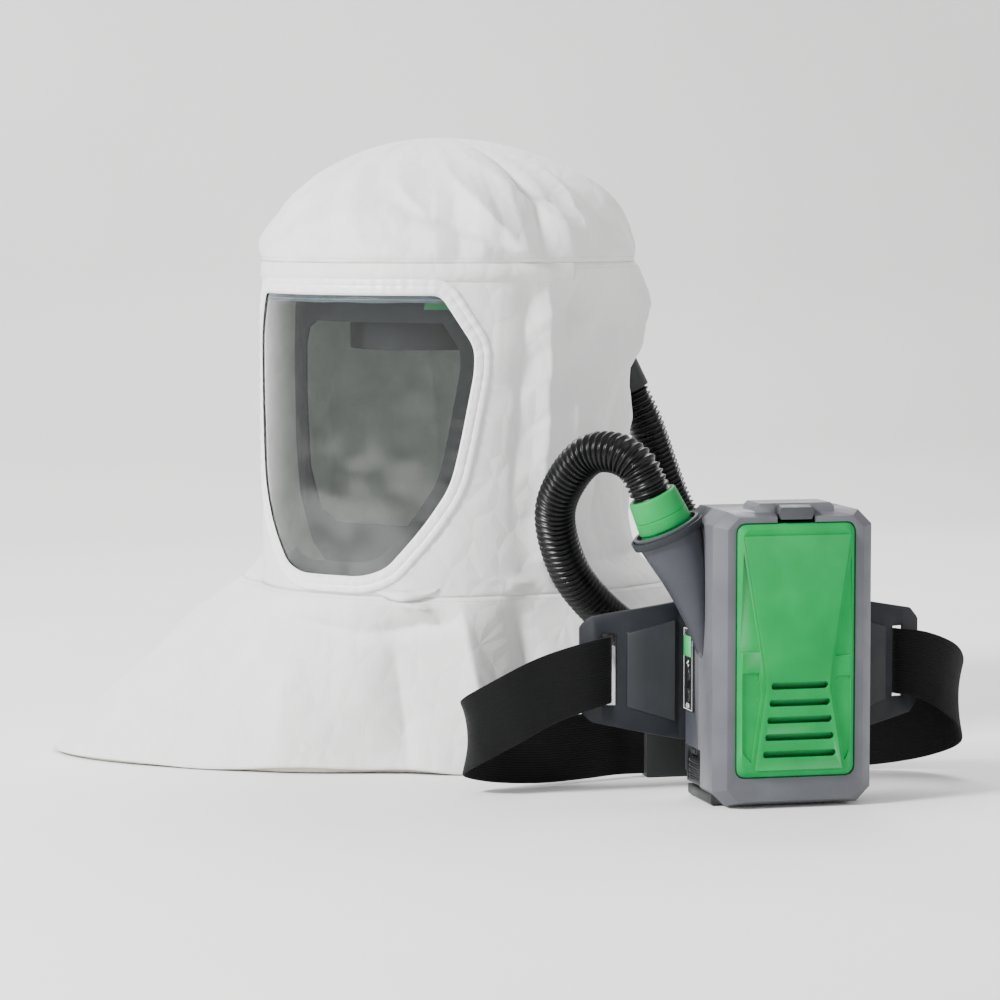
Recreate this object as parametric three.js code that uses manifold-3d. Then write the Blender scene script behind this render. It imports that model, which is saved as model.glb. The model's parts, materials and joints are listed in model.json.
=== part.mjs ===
// Powered air respirator: a fabric hood with a clear visor, a belt-worn blower
// unit with its filter and battery, and the breathing hose that joins them.
// Millimetres, +Z up.  The blower stands upright and faces -Y.
import * as THREE from 'three';
import { mergeVertices } from 'three/addons/utils/BufferGeometryUtils.js';
import Module from 'manifold-3d';

const wasm = await Module();
wasm.setup();

// ---- driving dimensions -------------------------------------------------
const GAP = 0.3; // clearance between touching pieces
const FOOTPRINT_CENTRE = [27.4, 93.8]; // moves the whole part's box centre to the origin

const BLOWER_AT = [188, -129.5];
const CASE_W = 126;
const CASE_D = 85;
const CASE_H = 226;
const FOOT_H = 9;
const SPLIT_Y = 4; // where the front shell meets the rear shell
const WALL = 2.5;
const CHAMFER = 9;

const COVER_W = 94;
const COVER_LOW = 24;
const COVER_HIGH = 217;
const LOUVRES = 5;
const LOUVRE_PITCH = 13;
const LOUVRE_LOW_Z = 42;
const LOUVRE_H = 5.4;

const FAN_AT = [6, 128]; // x and z of the fan axis, which runs along y
const FAN_R = 33;
const FAN_BLADES = 14;
const SCROLL_R = 38; // at the tongue; it grows by SCROLL_GROWTH round the turn
const SCROLL_GROWTH = 12;

const BATTERY = { x0: -62, x1: 50, y0: -2, y1: 36, z0: 12.2, z1: 40 };

const OUTLET_TILT = THREE.MathUtils.degToRad(25);
const OUTLET_MOUTH = [-87, 11, 212]; // centre of the outlet's rim
const OUTLET_R = 27;
const HOSE_R = 15.5;
const CUFF_LENGTH = 27;

const PLATE_HALF = 139;
const PLATE_T = 4.5;
const PLATE_Y = CASE_D / 2 + GAP;
const WING_START = 66;
const WING_SWEEP = 26;
const PLATE_MID_Z = 97;
const SLOT_X = 118;

const WEB_W = 52;
const WEB_T = 2.2;

const HOOD_AT = [-3, 200];
const HOOD_YAW = THREE.MathUtils.degToRad(-50);
const HOOD_FRONT_R = 147;
const HOOD_BACK_R = 172;
const HOOD_TOP = 512;
const DOME_POWER = 1.85; // 2 is an ellipse; less is more pointed
const BROW_Z = 410;
const NECK_Z = 143; // seam between the head panels and the cape
const FLARE_RISE = 24; // the flare starts this much higher beside and behind the visor
const FABRIC_T = 2.4;
const HEM_LONG = 325;
const HEM_SHORT = 150;
const HEM_ANGLE = THREE.MathUtils.degToRad(126);

const LENS_T = 1.5;
const BINDING = 7; // how far the binding laps over each side of the lens edge

const BAND_A = 80; // half width of the headband
const BAND_B = 98; // half length of the headband
const BAND_Y = 22;
const BAND_LOW = 338;
const BAND_HIGH = 366;
const BAND_T = 2.2;

const FRAME_FRONT = -94; // y of the face frame at its middle
const FRAME_BEND = 170;
const FRAME_T = 2.6;

const INLET_ANGLE = THREE.MathUtils.degToRad(168);
const INLET_Z = 338;

// ---- small tools ---------------------------------------------------------
const { sin, cos, PI, abs, min, max, hypot } = Math;
const v3 = (x, y, z) => new THREE.Vector3(x, y, z);

function solid(geometry) {
  const bare = geometry.clone();
  bare.deleteAttribute('normal');
  bare.deleteAttribute('uv');
  const merged = mergeVertices(bare, 1e-3);
  const mesh = new wasm.Mesh({
    numProp: 3,
    vertProperties: new Float32Array(merged.attributes.position.array),
    triVerts: new Uint32Array(merged.index.array),
  });
  return new wasm.Manifold(mesh);
}

function geometryOf(manifold) {
  const mesh = manifold.getMesh();
  const geometry = new THREE.BufferGeometry();
  geometry.setAttribute('position', new THREE.BufferAttribute(mesh.vertProperties, 3));
  geometry.setIndex(new THREE.BufferAttribute(mesh.triVerts, 1));
  return geometry;
}

const join = (...pieces) => pieces.reduce((a, b) => a.add(b));
const cut = (body, ...tools) => tools.reduce((a, b) => a.subtract(b), body);

// A block between two corners.
function block(x0, x1, y0, y1, z0, z1) {
  const geometry = new THREE.BoxGeometry(x1 - x0, y1 - y0, z1 - z0);
  return solid(geometry.translate((x0 + x1) / 2, (y0 + y1) / 2, (z0 + z1) / 2));
}

// A round bar from one point to another, with a radius at each end.
function bar(from, to, r0, r1 = r0, sides = 28) {
  const a = v3(...from);
  const b = v3(...to);
  const geometry = new THREE.CylinderGeometry(r1, r0, a.distanceTo(b), sides);
  const turn = new THREE.Quaternion().setFromUnitVectors(v3(0, 1, 0), b.clone().sub(a).normalize());
  geometry.applyQuaternion(turn);
  return solid(geometry.translate(...a.add(b).multiplyScalar(0.5).toArray()));
}

// A closed skin through rings of points that all have the same count.
function loft(rings) {
  const count = rings[0].length;
  const points = rings.flat();
  const index = [];
  for (let r = 0; r < rings.length - 1; r += 1) {
    for (let i = 0; i < count; i += 1) {
      const a = r * count + i;
      const b = r * count + ((i + 1) % count);
      index.push(a, b, b + count, a, b + count, a + count);
    }
  }
  [[0, true], [rings.length - 1, false]].forEach(([r, first]) => {
    const middle = rings[r].reduce((sum, p) => sum.add(p), v3(0, 0, 0)).divideScalar(count);
    points.push(middle);
    for (let i = 0; i < count; i += 1) {
      const a = r * count + i;
      const b = r * count + ((i + 1) % count);
      index.push(...(first ? [points.length - 1, b, a] : [points.length - 1, a, b]));
    }
  });
  const geometry = new THREE.BufferGeometry().setFromPoints(points);
  geometry.setIndex(index);
  return rightWayOut(geometry);
}

// Turns a closed skin round if its faces point inwards.
function rightWayOut(geometry) {
  const p = geometry.attributes.position;
  const index = geometry.index.array;
  const corner = (i) => v3().fromBufferAttribute(p, index[i]);
  let volume = 0;
  for (let i = 0; i < index.length; i += 3) {
    volume += corner(i).dot(corner(i + 1).cross(corner(i + 2)));
  }
  if (volume < 0) {
    for (let i = 0; i < index.length; i += 3) {
      [index[i + 1], index[i + 2]] = [index[i + 2], index[i + 1]];
    }
  }
  return solid(geometry);
}

// A rectangle with cut corners in the x-z plane, as a ring at depth y.
function chamferedRing(y, x0, x1, z0, z1, c) {
  const corners = [
    [x0 + c, z0], [x1 - c, z0], [x1, z0 + c], [x1, z1 - c],
    [x1 - c, z1], [x0 + c, z1], [x0, z1 - c], [x0, z0 + c],
  ];
  return corners.map(([x, z]) => v3(x, y, z));
}

// A flat outline in the x-z plane, run along y from y0 to y1.
function prism(outline, y0, y1) {
  const shape = new THREE.Shape(outline.map(([x, z]) => new THREE.Vector2(x, z)));
  const geometry = new THREE.ExtrudeGeometry(shape, { depth: y1 - y0, bevelEnabled: false, steps: 1 });
  return solid(geometry.rotateX(PI / 2).translate(0, y1, 0));
}

function roundedOutline(x0, x1, z0, z1, r, steps = 3) {
  const centres = [[x1 - r, z0 + r, -90], [x1 - r, z1 - r, 0], [x0 + r, z1 - r, 90], [x0 + r, z0 + r, 180]];
  return centres.flatMap(([x, z, start]) => Array.from({ length: steps + 1 }, (_, i) => {
    const a = THREE.MathUtils.degToRad(start + (90 * i) / steps);
    return [x + r * cos(a), z + r * sin(a)];
  }));
}

// A flat strap along a path, its width standing along `up` at each point.
function strap(path, width, thickness, steps, up = () => v3(0, 0, 1)) {
  const curve = new THREE.CatmullRomCurve3(path.map((p) => v3(...p)), false, 'centripetal');
  const rings = [];
  for (let i = 0; i <= steps; i += 1) {
    const t = i / steps;
    const at = curve.getPoint(t);
    const along = curve.getTangent(t);
    const side = v3().crossVectors(along, up(t)).normalize();
    const rise = v3().crossVectors(side, along).normalize();
    const corner = (w, s) => at.clone().addScaledVector(rise, w * width / 2)
      .addScaledVector(side, s * thickness / 2);
    rings.push([corner(-1, -1), corner(1, -1), corner(1, 1), corner(-1, 1)]);
  }
  return loft(rings);
}

function mesh(name, shape, colour, roughness = 0.6, metalness = 0) {
  const material = new THREE.MeshStandardMaterial({ color: colour, roughness, metalness });
  const piece = new THREE.Mesh(geometryOf(shape), material);
  piece.name = name;
  return piece;
}

// ---- hood surfaces -------------------------------------------------------
// Angles run from the wearer's nose (0, towards -y) to the viewer's right (+x).
const frontAngle = (phi) => abs(THREE.MathUtils.euclideanModulo(phi + PI, 2 * PI) - PI);

function headRadius(phi) {
  const t = THREE.MathUtils.smoothstep(frontAngle(phi), PI / 2.9, PI);
  return HOOD_FRONT_R + (HOOD_BACK_R - HOOD_FRONT_R) * t;
}

function hemRadius(phi) {
  const a = phi - HEM_ANGLE;
  return (HEM_LONG * HEM_SHORT) / hypot(HEM_SHORT * cos(a), HEM_LONG * sin(a));
}

function hoodRadius(phi, z) {
  if (z > BROW_Z) {
    return headRadius(phi) * (1 - ((z - BROW_Z) / (HOOD_TOP - BROW_Z)) ** DOME_POWER) ** (1 / DOME_POWER);
  }
  const start = NECK_Z + FLARE_RISE * THREE.MathUtils.smoothstep(frontAngle(phi), 0.75, 1.3);
  const flare = max(0, (start - z) / start) ** 0.9;
  return headRadius(phi) * (1 - flare) + hemRadius(phi) * flare;
}

const polar = (r, phi, z) => v3(r * sin(phi), -r * cos(phi), z);
const steps = (from, to, count) => Array.from(
  { length: count + 1 }, (_, i) => from + ((to - from) * i) / count,
);
const degrees = THREE.MathUtils.degToRad;

// A thin closed solid between two grids of points.
function shellPatch(outer, inner) {
  const rows = outer.length;
  const cols = outer[0].length;
  const at = (side, r, c) => (side * rows + r) * cols + c;
  const index = [];
  const quad = (a, b, c, d) => index.push(a, b, c, a, c, d);
  for (let r = 0; r < rows - 1; r += 1) {
    for (let c = 0; c < cols - 1; c += 1) {
      quad(at(0, r, c), at(0, r, c + 1), at(0, r + 1, c + 1), at(0, r + 1, c));
      quad(at(1, r, c), at(1, r + 1, c), at(1, r + 1, c + 1), at(1, r, c + 1));
    }
  }
  for (let c = 0; c < cols - 1; c += 1) {
    quad(at(0, 0, c), at(1, 0, c), at(1, 0, c + 1), at(0, 0, c + 1));
    quad(at(0, rows - 1, c), at(0, rows - 1, c + 1), at(1, rows - 1, c + 1), at(1, rows - 1, c));
  }
  for (let r = 0; r < rows - 1; r += 1) {
    quad(at(0, r, 0), at(0, r + 1, 0), at(1, r + 1, 0), at(1, r, 0));
    quad(at(0, r, cols - 1), at(1, r, cols - 1), at(1, r + 1, cols - 1), at(0, r + 1, cols - 1));
  }
  const geometry = new THREE.BufferGeometry().setFromPoints([...outer.flat(), ...inner.flat()]);
  geometry.setIndex(index);
  return rightWayOut(geometry);
}

function hoodPanel(from, to, heights, columns, inset = 0) {
  const trim = GAP / 2 / HOOD_FRONT_R;
  const angles = steps(degrees(from) + trim, degrees(to) - trim, columns);
  const grid = (depth) => heights.map((z) => angles.map((phi) => polar(
    hoodRadius(phi, z) - depth, phi, z,
  )));
  return shellPatch(grid(inset), grid(inset + FABRIC_T));
}

// A closed ring of hood fabric between two heights.
function hoodRing(heights, depth) {
  const angles = steps(0, 2 * PI, 40).slice(1);
  const skin = (inset, levels) => loft(levels.map((z) => angles.map((phi) => polar(
    hoodRadius(phi, z) - inset, phi, z,
  ))));
  const past = [heights[0] - 1, ...heights.slice(1, -1), heights.at(-1) + 1];
  return cut(skin(depth, heights), skin(depth + FABRIC_T, past));
}

function crownPanel() {
  const angles = steps(0, 2 * PI, 40).slice(1);
  const dome = (inset, base) => {
    const rise = HOOD_TOP - BROW_Z - inset;
    const levels = [base, 20, 40, 60, 77, 90, rise - 1.2].filter((h, i) => i === 0 || h < rise);
    const factor = (h) => (1 - (max(0, h) / rise) ** DOME_POWER) ** (1 / DOME_POWER);
    return loft(levels.map((h) => angles.map((phi) => polar(
      (headRadius(phi) - inset) * factor(h), phi, BROW_Z + h,
    ))));
  };
  return cut(dome(0, GAP), dome(FABRIC_T, -2));
}

// A plate bent round the visor's upright axis, cut to an outline given as
// distance round the curve and height.
function curvedPlate(outline, rIn, rOut, opening = null) {
  const angles = steps(-1.12, 1.12, 26);
  const grid = (r) => [130, 270, 405].map((z) => angles.map((phi) => polar(r, phi, z)));
  const round = (points) => points.map(([s, z]) => [HOOD_FRONT_R * sin(s / HOOD_FRONT_R), z]);
  const plate = shellPatch(grid(rOut), grid(rIn)).intersect(prism(round(outline), -200, -30));
  return opening ? cut(plate, prism(round(opening), -201, -29)) : plate;
}

const LENS_RIGHT = [
  [33, 152], [56, 160], [87, 195], [110, 229], [118, 262], [130, 323], [130, 345], [113, 371], [100, 391],
];
const mirrored = (half) => [...half, ...half.map(([x, z]) => [-x, z]).reverse()];
const LENS_OUTLINE = mirrored(LENS_RIGHT);

// Moves every side of an outline outwards (or inwards, if negative).
function grown(outline, distance) {
  const count = outline.length;
  return outline.map(([x, z], i) => {
    const before = outline[(i + count - 1) % count];
    const after = outline[(i + 1) % count];
    const n1 = new THREE.Vector2(z - before[1], before[0] - x).normalize();
    const n2 = new THREE.Vector2(after[1] - z, x - after[0]).normalize();
    const out = n1.clone().add(n2).divideScalar(1 + n1.dot(n2));
    return [x + out.x * distance, z + out.y * distance];
  });
}

// A band round the head: part of an oval ring.
function headRing(inset, thickness, from, to, low, high, columns) {
  const angles = steps(degrees(from), degrees(to), columns);
  const grid = (d) => [low, high].map((z) => angles.map((phi) => (
    v3((BAND_A - d) * sin(phi), BAND_Y - (BAND_B - d) * cos(phi), z))));
  return shellPatch(grid(inset), grid(inset + thickness));
}

function hoodPieces() {
  const white = '#f1f1ef';
  const capeLevels = [3, 40, 80, 115, NECK_Z - GAP];
  const headLevels = [NECK_Z, 167, 235, 320, BROW_Z];
  const window = prism(
    grown(LENS_OUTLINE, GAP).map(([s, z]) => [HOOD_FRONT_R * sin(s / HOOD_FRONT_R), z]), -200, -30,
  );
  const front = cut(hoodPanel(-66, 66, [NECK_Z, 167, 235, 320, BROW_Z], 20), window);
  const lowFront = cut(hoodPanel(-54, 36, capeLevels, 14), window);
  return [
    mesh('crown_panel', crownPanel(), white, 0.9),
    mesh('front_panel', front, white, 0.9),
    mesh('right_side_panel', hoodPanel(66, 140, headLevels, 10), white, 0.9),
    mesh('back_panel', cut(hoodPanel(140, 220, headLevels, 10), inletBar(15.5)), white, 0.9),
    mesh('left_side_panel', hoodPanel(220, 294, headLevels, 10), white, 0.9),
    mesh('cape_front', lowFront, white, 0.9),
    mesh('cape_right', hoodPanel(36, 126, capeLevels, 14), white, 0.9),
    mesh('cape_back', hoodPanel(126, 216, capeLevels, 14), white, 0.9),
    mesh('cape_left', hoodPanel(216, 306, capeLevels, 14), white, 0.9),
    mesh('inner_bib', hoodRing([0, 40, 80, 115, 135], 6), '#ece8da', 0.9),
  ];
}

// The stiff frame behind the lens, bent less than the lens is.
function bentPlate(outline, front, back) {
  const middle = FRAME_FRONT + FRAME_BEND;
  const angles = steps(-0.8, 0.8, 18);
  const grid = (r) => [140, 270, 410].map((z) => angles.map((a) => v3(r * sin(a), middle - r * cos(a), z)));
  return shellPatch(grid(FRAME_BEND + front), grid(FRAME_BEND + back)).intersect(prism(outline, -200, 20));
}

function faceFrame() {
  const outer = mirrored([[45, 158], [72, 176], [98, 215], [111, 260], [116, 330], [111, 372], [96, 392]]);
  const opening = mirrored([[40, 196], [62, 206], [80, 240], [86, 300], [86, 340], [80, 355], [66, 361]]);
  return cut(bentPlate(outer, 0, -FRAME_T), prism(opening, -200, 20));
}

const clipPlate = () => bentPlate([[52, 372], [88, 372], [86, 396], [56, 398]], 0.4 + FRAME_T, GAP);

function visorPieces() {
  const r = HOOD_FRONT_R;
  return [
    mesh('visor_lens', curvedPlate(LENS_OUTLINE, r - LENS_T - 0.5, r - 0.5), '#dfe6e6', 0.05),
    mesh(
      'visor_binding',
      curvedPlate(grown(LENS_OUTLINE, BINDING), r + GAP, r + 2.2, grown(LENS_OUTLINE, -BINDING)),
      '#f6f6f4', 0.5,
    ),
    mesh('face_frame', faceFrame(), '#3d4548', 0.55),
    mesh('visor_clip', clipPlate(), '#12a85e', 0.5),
  ];
}

function harnessPieces() {
  const strapPath = [[-1, 0], [-0.78, 62], [-0.4, 92], [0, 101], [0.4, 92], [0.78, 62], [1, 0]];
  const over = strapPath.map(([k, rise]) => [k * (BAND_A - 4), BAND_Y, BAND_HIGH - 14 + rise * 0.9]);
  const knobY = BAND_Y + BAND_B;
  const grip = join(...steps(0, 300, 5).map((angle) => {
    const a = degrees(angle);
    return bar(
      [16 * cos(a), knobY + 2, 352 + 16 * sin(a)], [16 * cos(a), knobY + 15, 352 + 16 * sin(a)], 4.5, 4.2,
      10,
    );
  }));
  const knob = join(bar([0, knobY + 2, 352], [0, knobY + 14, 352], 18), grip);
  return [
    mesh('headband', headRing(0, BAND_T, -146, 146, BAND_LOW, BAND_HIGH, 32), '#2b2d2f', 0.5),
    mesh('nape_band', headRing(5, BAND_T, 140, 220, BAND_LOW + 2, BAND_HIGH - 2, 14), '#34373a', 0.5),
    mesh('sweatband', headRing(BAND_T + GAP, 6, -48, 48, BAND_LOW + 1, BAND_HIGH - 1, 14), '#1f2122', 0.9),
    mesh('crown_strap', strap(over, 20, 1.8, 18, () => v3(0, 1, 0)), '#2b2d2f', 0.5),
    mesh('ratchet_knob', knob, '#26282a', 0.5),
  ];
}

// ---- where the hose meets the hood ---------------------------------------
const inletBase = polar(HOOD_BACK_R - 8, INLET_ANGLE, INLET_Z);
const inletElbow = polar(HOOD_BACK_R + 21, INLET_ANGLE, INLET_Z);
const inletWay = v3(sin(INLET_ANGLE) * 0.3, -cos(INLET_ANGLE) * 0.3, -0.95)
  .applyAxisAngle(v3(0, 1, 0), -0.28).normalize();
const inletTip = inletElbow.clone().addScaledVector(inletWay, 24);
const hoodCuffEnd = inletTip.clone().addScaledVector(inletWay, 24 + GAP);

function inletBar(radius, extra = 30) {
  const start = inletBase.clone().addScaledVector(polar(1, INLET_ANGLE, 0), -extra);
  return bar(start.toArray(), inletElbow.toArray(), radius);
}

function inletPieces() {
  const outward = polar(1, INLET_ANGLE, 0);
  const flangeOut = polar(HOOD_BACK_R + 3.6, INLET_ANGLE, INLET_Z);
  const flangeIn = polar(HOOD_BACK_R + 1, INLET_ANGLE, INLET_Z);
  const elbowTop = inletElbow.clone().addScaledVector(inletWay, -4);
  const body = join(
    inletBar(14, 2),
    bar(flangeIn.toArray(), flangeOut.toArray(), 21),
    bar(elbowTop.toArray(), inletTip.toArray(), 15),
    solid(new THREE.SphereGeometry(15, 20, 12).translate(...inletElbow.toArray())),
  );
  const bore = join(
    bar(inletBase.clone().addScaledVector(outward, -6).toArray(), inletElbow.toArray(), 11),
    bar(inletElbow.toArray(), inletTip.clone().addScaledVector(inletWay, 2).toArray(), 11.5),
    solid(new THREE.SphereGeometry(11.5, 16, 10).translate(...inletElbow.toArray())),
  );
  const cuffStart = inletTip.clone().addScaledVector(inletWay, GAP);
  const cuff = cut(
    bar(cuffStart.toArray(), hoodCuffEnd.toArray(), 17.5),
    bar(
      cuffStart.clone().addScaledVector(inletWay, -1).toArray(),
      hoodCuffEnd.clone().addScaledVector(inletWay, 1).toArray(), 12.5,
    ),
  );
  return [
    mesh('hood_inlet', cut(body, bore), '#3a3d40', 0.5), mesh('hood_cuff', cuff, '#26282a', 0.5),
    airDuct(),
  ];
}

// The flat channel that carries air over the head to the brow.
function airDuct() {
  const rise = [
    [154, 372], [146, 400], [118, 438], [82, 465], [38, 482], [-26, 482], [-72, 466], [-104, 442],
  ];
  const side = polar(1, INLET_ANGLE, 0);
  const path = rise.map(([r, z]) => [side.x * r, side.y * r, z]);
  const width = v3(side.y, -side.x, 0);
  const beyond = (list, k) => list.map((value, i) => value + (value - k[i]) * 0.4);
  const longer = [beyond(path[0], path[1]), ...path.slice(1, -1), beyond(path.at(-1), path.at(-2))];
  return mesh(
    'air_duct', cut(strap(path, 54, 11, 16, () => width), strap(longer, 49, 8, 18, () => width)),
    '#e4e6e4', 0.8,
  );
}

// ---- blower --------------------------------------------------------------
const [fanX, fanZ] = FAN_AT;
const HALF_W = CASE_W / 2;
const HALF_D = CASE_D / 2;
const SHELL_LOW = FOOT_H + GAP;
const SHELL_FLOOR = SHELL_LOW + WALL;

function coverOutline(margin = 0) {
  const half = COVER_W / 2 + margin;
  return roundedOutline(-half, half, COVER_LOW - margin, COVER_HIGH + margin, 7);
}

const batteryBay = () => block(
  -HALF_W - 6, BATTERY.x1 + GAP, BATTERY.y0 - GAP, BATTERY.y1 + GAP, BATTERY.z0 - GAP, BATTERY.z1 + GAP,
);

function frontShell() {
  const back = SPLIT_Y - GAP / 2;
  const ring = (y, inset, low, top, c) => chamferedRing(y, -HALF_W + inset, HALF_W - inset, low, top, c);
  const outer = loft([
    ring(-HALF_D, CHAMFER, 6, CASE_H - 4, 9), ring(-HALF_D + 9, 0, 2, CASE_H, 11),
    ring(back, 0, 2, CASE_H, 11),
  ]);
  const inner = loft([
    ring(-HALF_D + WALL, CHAMFER + 1, SHELL_FLOOR, CASE_H - 6, 8), ring(
      -HALF_D + 10, WALL, SHELL_FLOOR, CASE_H - WALL, 9,
    ),
    ring(back + 1, WALL, SHELL_FLOOR, CASE_H - WALL, 9),
  ]);
  const hump = loft([
    chamferedRing(-36, -30, 32, CASE_H - 4, CASE_H + 6, 3), chamferedRing(
      -4, -30, 32, CASE_H - 4, CASE_H + 6, 3,
    ),
  ]);
  const latchPocket = block(-15, 15, -60, -35.5, COVER_HIGH - 1, CASE_H + 9);
  const footRoom = block(-70, 70, -20 - GAP, 60, -1, SHELL_LOW);
  return cut(
    join(outer, cut(hump, inner)), inner, prism(coverOutline(GAP * 2), -60, -20), latchPocket, footRoom,
    batteryBay(),
  );
}

function rearShell() {
  const front = SPLIT_Y + GAP / 2;
  const ring = (y, inset, c) => chamferedRing(
    y, -HALF_W + inset, HALF_W - inset, SHELL_LOW + inset, CASE_H - inset, c,
  );
  const outer = loft([ring(front, 0, 11), ring(HALF_D - 6, 0, 11), ring(HALF_D, 5, 9)]);
  const inner = loft([ring(front - 1, WALL, 9), ring(HALF_D - 7, WALL, 9), ring(HALF_D - WALL, 6, 8)]);
  const port = block(-HALF_W - 2, -HALF_W + 6, 1, 19, 163, 193);
  const screwHoles = screwPlaces().map(([x, z]) => bar(
    [x, HALF_D - 5, z], [x, HALF_D + 1, z], 3.4, 3.4, 16,
  ));
  const buttonHoles = buttonHeights.map((z) => bar(
    [-HALF_W - 2, PANEL_Y, z], [-HALF_W + 5, PANEL_Y, z], 6,
  ));
  return cut(outer, inner, port, batteryBay(), ...screwHoles, ...buttonHoles);
}

const screwPlaces = () => [[-50, 212], [50, 212], [-50, 24], [50, 24]];
const PANEL_Y = 24;
const PANEL_LOW = 68;
const PANEL_HIGH = 132;
const buttonHeights = [80, 96];

function statusPieces() {
  const outer = -HALF_W - 2;
  const inner = -HALF_W - GAP;
  const plate = block(outer, inner, PANEL_Y - 11.5, PANEL_Y + 11.5, PANEL_LOW, PANEL_HIGH);
  const holes = buttonHeights.map((z) => bar([outer - 1, PANEL_Y, z], [inner + 1, PANEL_Y, z], 6));
  const button = (z) => bar([outer - 0.9, PANEL_Y, z], [-HALF_W + 1.2, PANEL_Y, z], 5.5, 5.7);
  return {
    plate: mesh('status_panel', cut(plate, ...holes), '#17191b', 0.35),
    light: mesh(
      'status_window', block(outer - 1, outer - GAP, PANEL_Y - 9, PANEL_Y + 9, 110, 126), '#18b45e', 0.3,
    ),
    power: mesh('power_button', button(buttonHeights[0]), '#1f2224', 0.5),
    airflow: mesh('airflow_button', button(buttonHeights[1]), '#1f2224', 0.5),
  };
}

function filterCover() {
  const face = -HALF_D - 3;
  const ring = (y, margin) => coverOutline(margin).map(([x, z]) => v3(x, y, z));
  const outer = loft([ring(face, -4), ring(face + 4, 0), ring(-HALF_D + 8, 0)]);
  const inner = loft([ring(face + 3, -6), ring(face + 6, -2.4), ring(-HALF_D + 9, -2.4)]);
  const waist = [[-33, 30], [-24, 92], [-25, 108], [-42, 208], [42, 208], [27, 108], [26, 92], [36, 30]];
  const panel = prism(waist, face - 2, face + 1.5);
  const slots = Array.from({ length: LOUVRES }, (_, i) => {
    const z = LOUVRE_LOW_Z + i * LOUVRE_PITCH;
    const half = 29 - i * 1.6;
    return prism(
      roundedOutline(2 - half, 2 + half, z - LOUVRE_H / 2, z + LOUVRE_H / 2, 2, 2), face - 4, face + 8,
    );
  });
  return mesh('filter_cover', cut(join(cut(outer, inner), panel), ...slots), '#10b864', 0.45);
}

function coverLatch() {
  const pad = loft([
    chamferedRing(-HALF_D - 1, -14, 14, COVER_HIGH + 5, CASE_H + 3, 2), chamferedRing(
      -36.2, -14, 14, COVER_HIGH + 5, CASE_H + 5, 2,
    ),
  ]);
  return mesh('cover_latch', pad, '#7c7d83', 0.5);
}

function filterPieces() {
  const low = COVER_LOW + 4;
  const high = COVER_HIGH - 4;
  const pleats = Array.from({ length: 14 }, (_, i) => {
    const z = low + 9 + i * 12.2;
    return prism([[-39, z - 4], [39, z - 4], [39, z + 4], [-39, z + 4]], -31.5, -27);
  });
  const frame = cut(
    block(-43, 43, -31, -13, low, high), block(-40, 40, -32, -28, low + 3, high - 3),
    bar([fanX, -20, fanZ], [fanX, -10, fanZ], 21),
  );
  return [
    mesh('prefilter', block(-42, 42, -34, -31.8, low + 1, high - 1), '#e9ebe6', 0.95),
    mesh('particle_filter', join(frame, ...pleats), '#d9dcd4', 0.8),
    mesh(
      'filter_seal',
      cut(bar([fanX, -12.7, fanZ], [fanX, -8.4, fanZ], 27), bar([fanX, -14, fanZ], [fanX, -7, fanZ], 22.5)),
      '#1d1f20', 0.8,
    ),
  ];
}

function scrollOutline() {
  const turn = steps(120, 450, 26).map((angle) => {
    const r = SCROLL_R + (SCROLL_GROWTH * (angle - 120)) / 330;
    return [fanX + r * cos(degrees(angle)), fanZ + r * sin(degrees(angle))];
  });
  return [[-60, 196], [-60, 160], ...turn];
}

function scrollHousing() {
  const outer = prism(scrollOutline(), -8, 24);
  const inner = prism(grown(scrollOutline(), -2.2), -5.8, 21.8);
  const port = block(-64, -55, -2, 18, 163, 192);
  const inlet = bar([fanX, -9, fanZ], [fanX, -4, fanZ], 22);
  const motorHole = bar([fanX, 20, fanZ], [fanX, 26, fanZ], 17.5);
  return mesh('scroll_housing', cut(outer, inner, port, inlet, motorHole), '#2a2d2f', 0.6);
}

function impeller() {
  const plate = bar([fanX, 16, fanZ], [fanX, 18.5, fanZ], FAN_R, FAN_R, 36);
  const hub = bar([fanX, 2, fanZ], [fanX, 17, fanZ], 7);
  const rim = cut(
    bar([fanX, -4, fanZ], [fanX, -2, fanZ], FAN_R, FAN_R, 36),
    bar([fanX, -5, fanZ], [fanX, -1, fanZ], 25, 25, 36),
  );
  const blades = steps(0, 360, FAN_BLADES).slice(1).map((angle) => {
    const blade = new THREE.BoxGeometry(12, 18.5, 1.5).rotateY(0.6).translate(26, 7.2, 0);
    return solid(blade.rotateY(degrees(angle)).translate(fanX, 0, fanZ));
  });
  const bore = bar([fanX, -6, fanZ], [fanX, 20, fanZ], 2.9, 2.9, 16);
  return cut(join(plate, hub, rim, ...blades), bore);
}

function drivePieces() {
  const shaft = bar([fanX, -1, fanZ], [fanX, 23, fanZ], 2.5, 2.5, 16);
  const motor = cut(
    join(bar([fanX, 19.8, fanZ], [fanX, 38.5, fanZ], 17), bar([fanX, 26, fanZ], [fanX, 30, fanZ], 18.5)),
    bar([fanX, 18, fanZ], [fanX, 25, fanZ], 3, 3, 16),
  );
  const chips = [[-40, -28, 52, 66], [-20, -4, 50, 62], [8, 14, 54, 60], [24, 44, 50, 70]];
  const board = join(
    block(-50, 52, 26, 27.6, 46, 76), ...chips.map(([x0, x1, z0, z1]) => block(x0, x1, 27.4, 31, z0, z1)),
  );
  return {
    fan: [mesh('impeller', impeller(), '#1f2224', 0.5), mesh('motor_shaft', shaft, '#b9bcc0', 0.3, 0.9)],
    fixed: [mesh('motor', motor, '#8b8f94', 0.35, 0.8), mesh('circuit_board', board, '#1f6b3a', 0.6)],
  };
}

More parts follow.
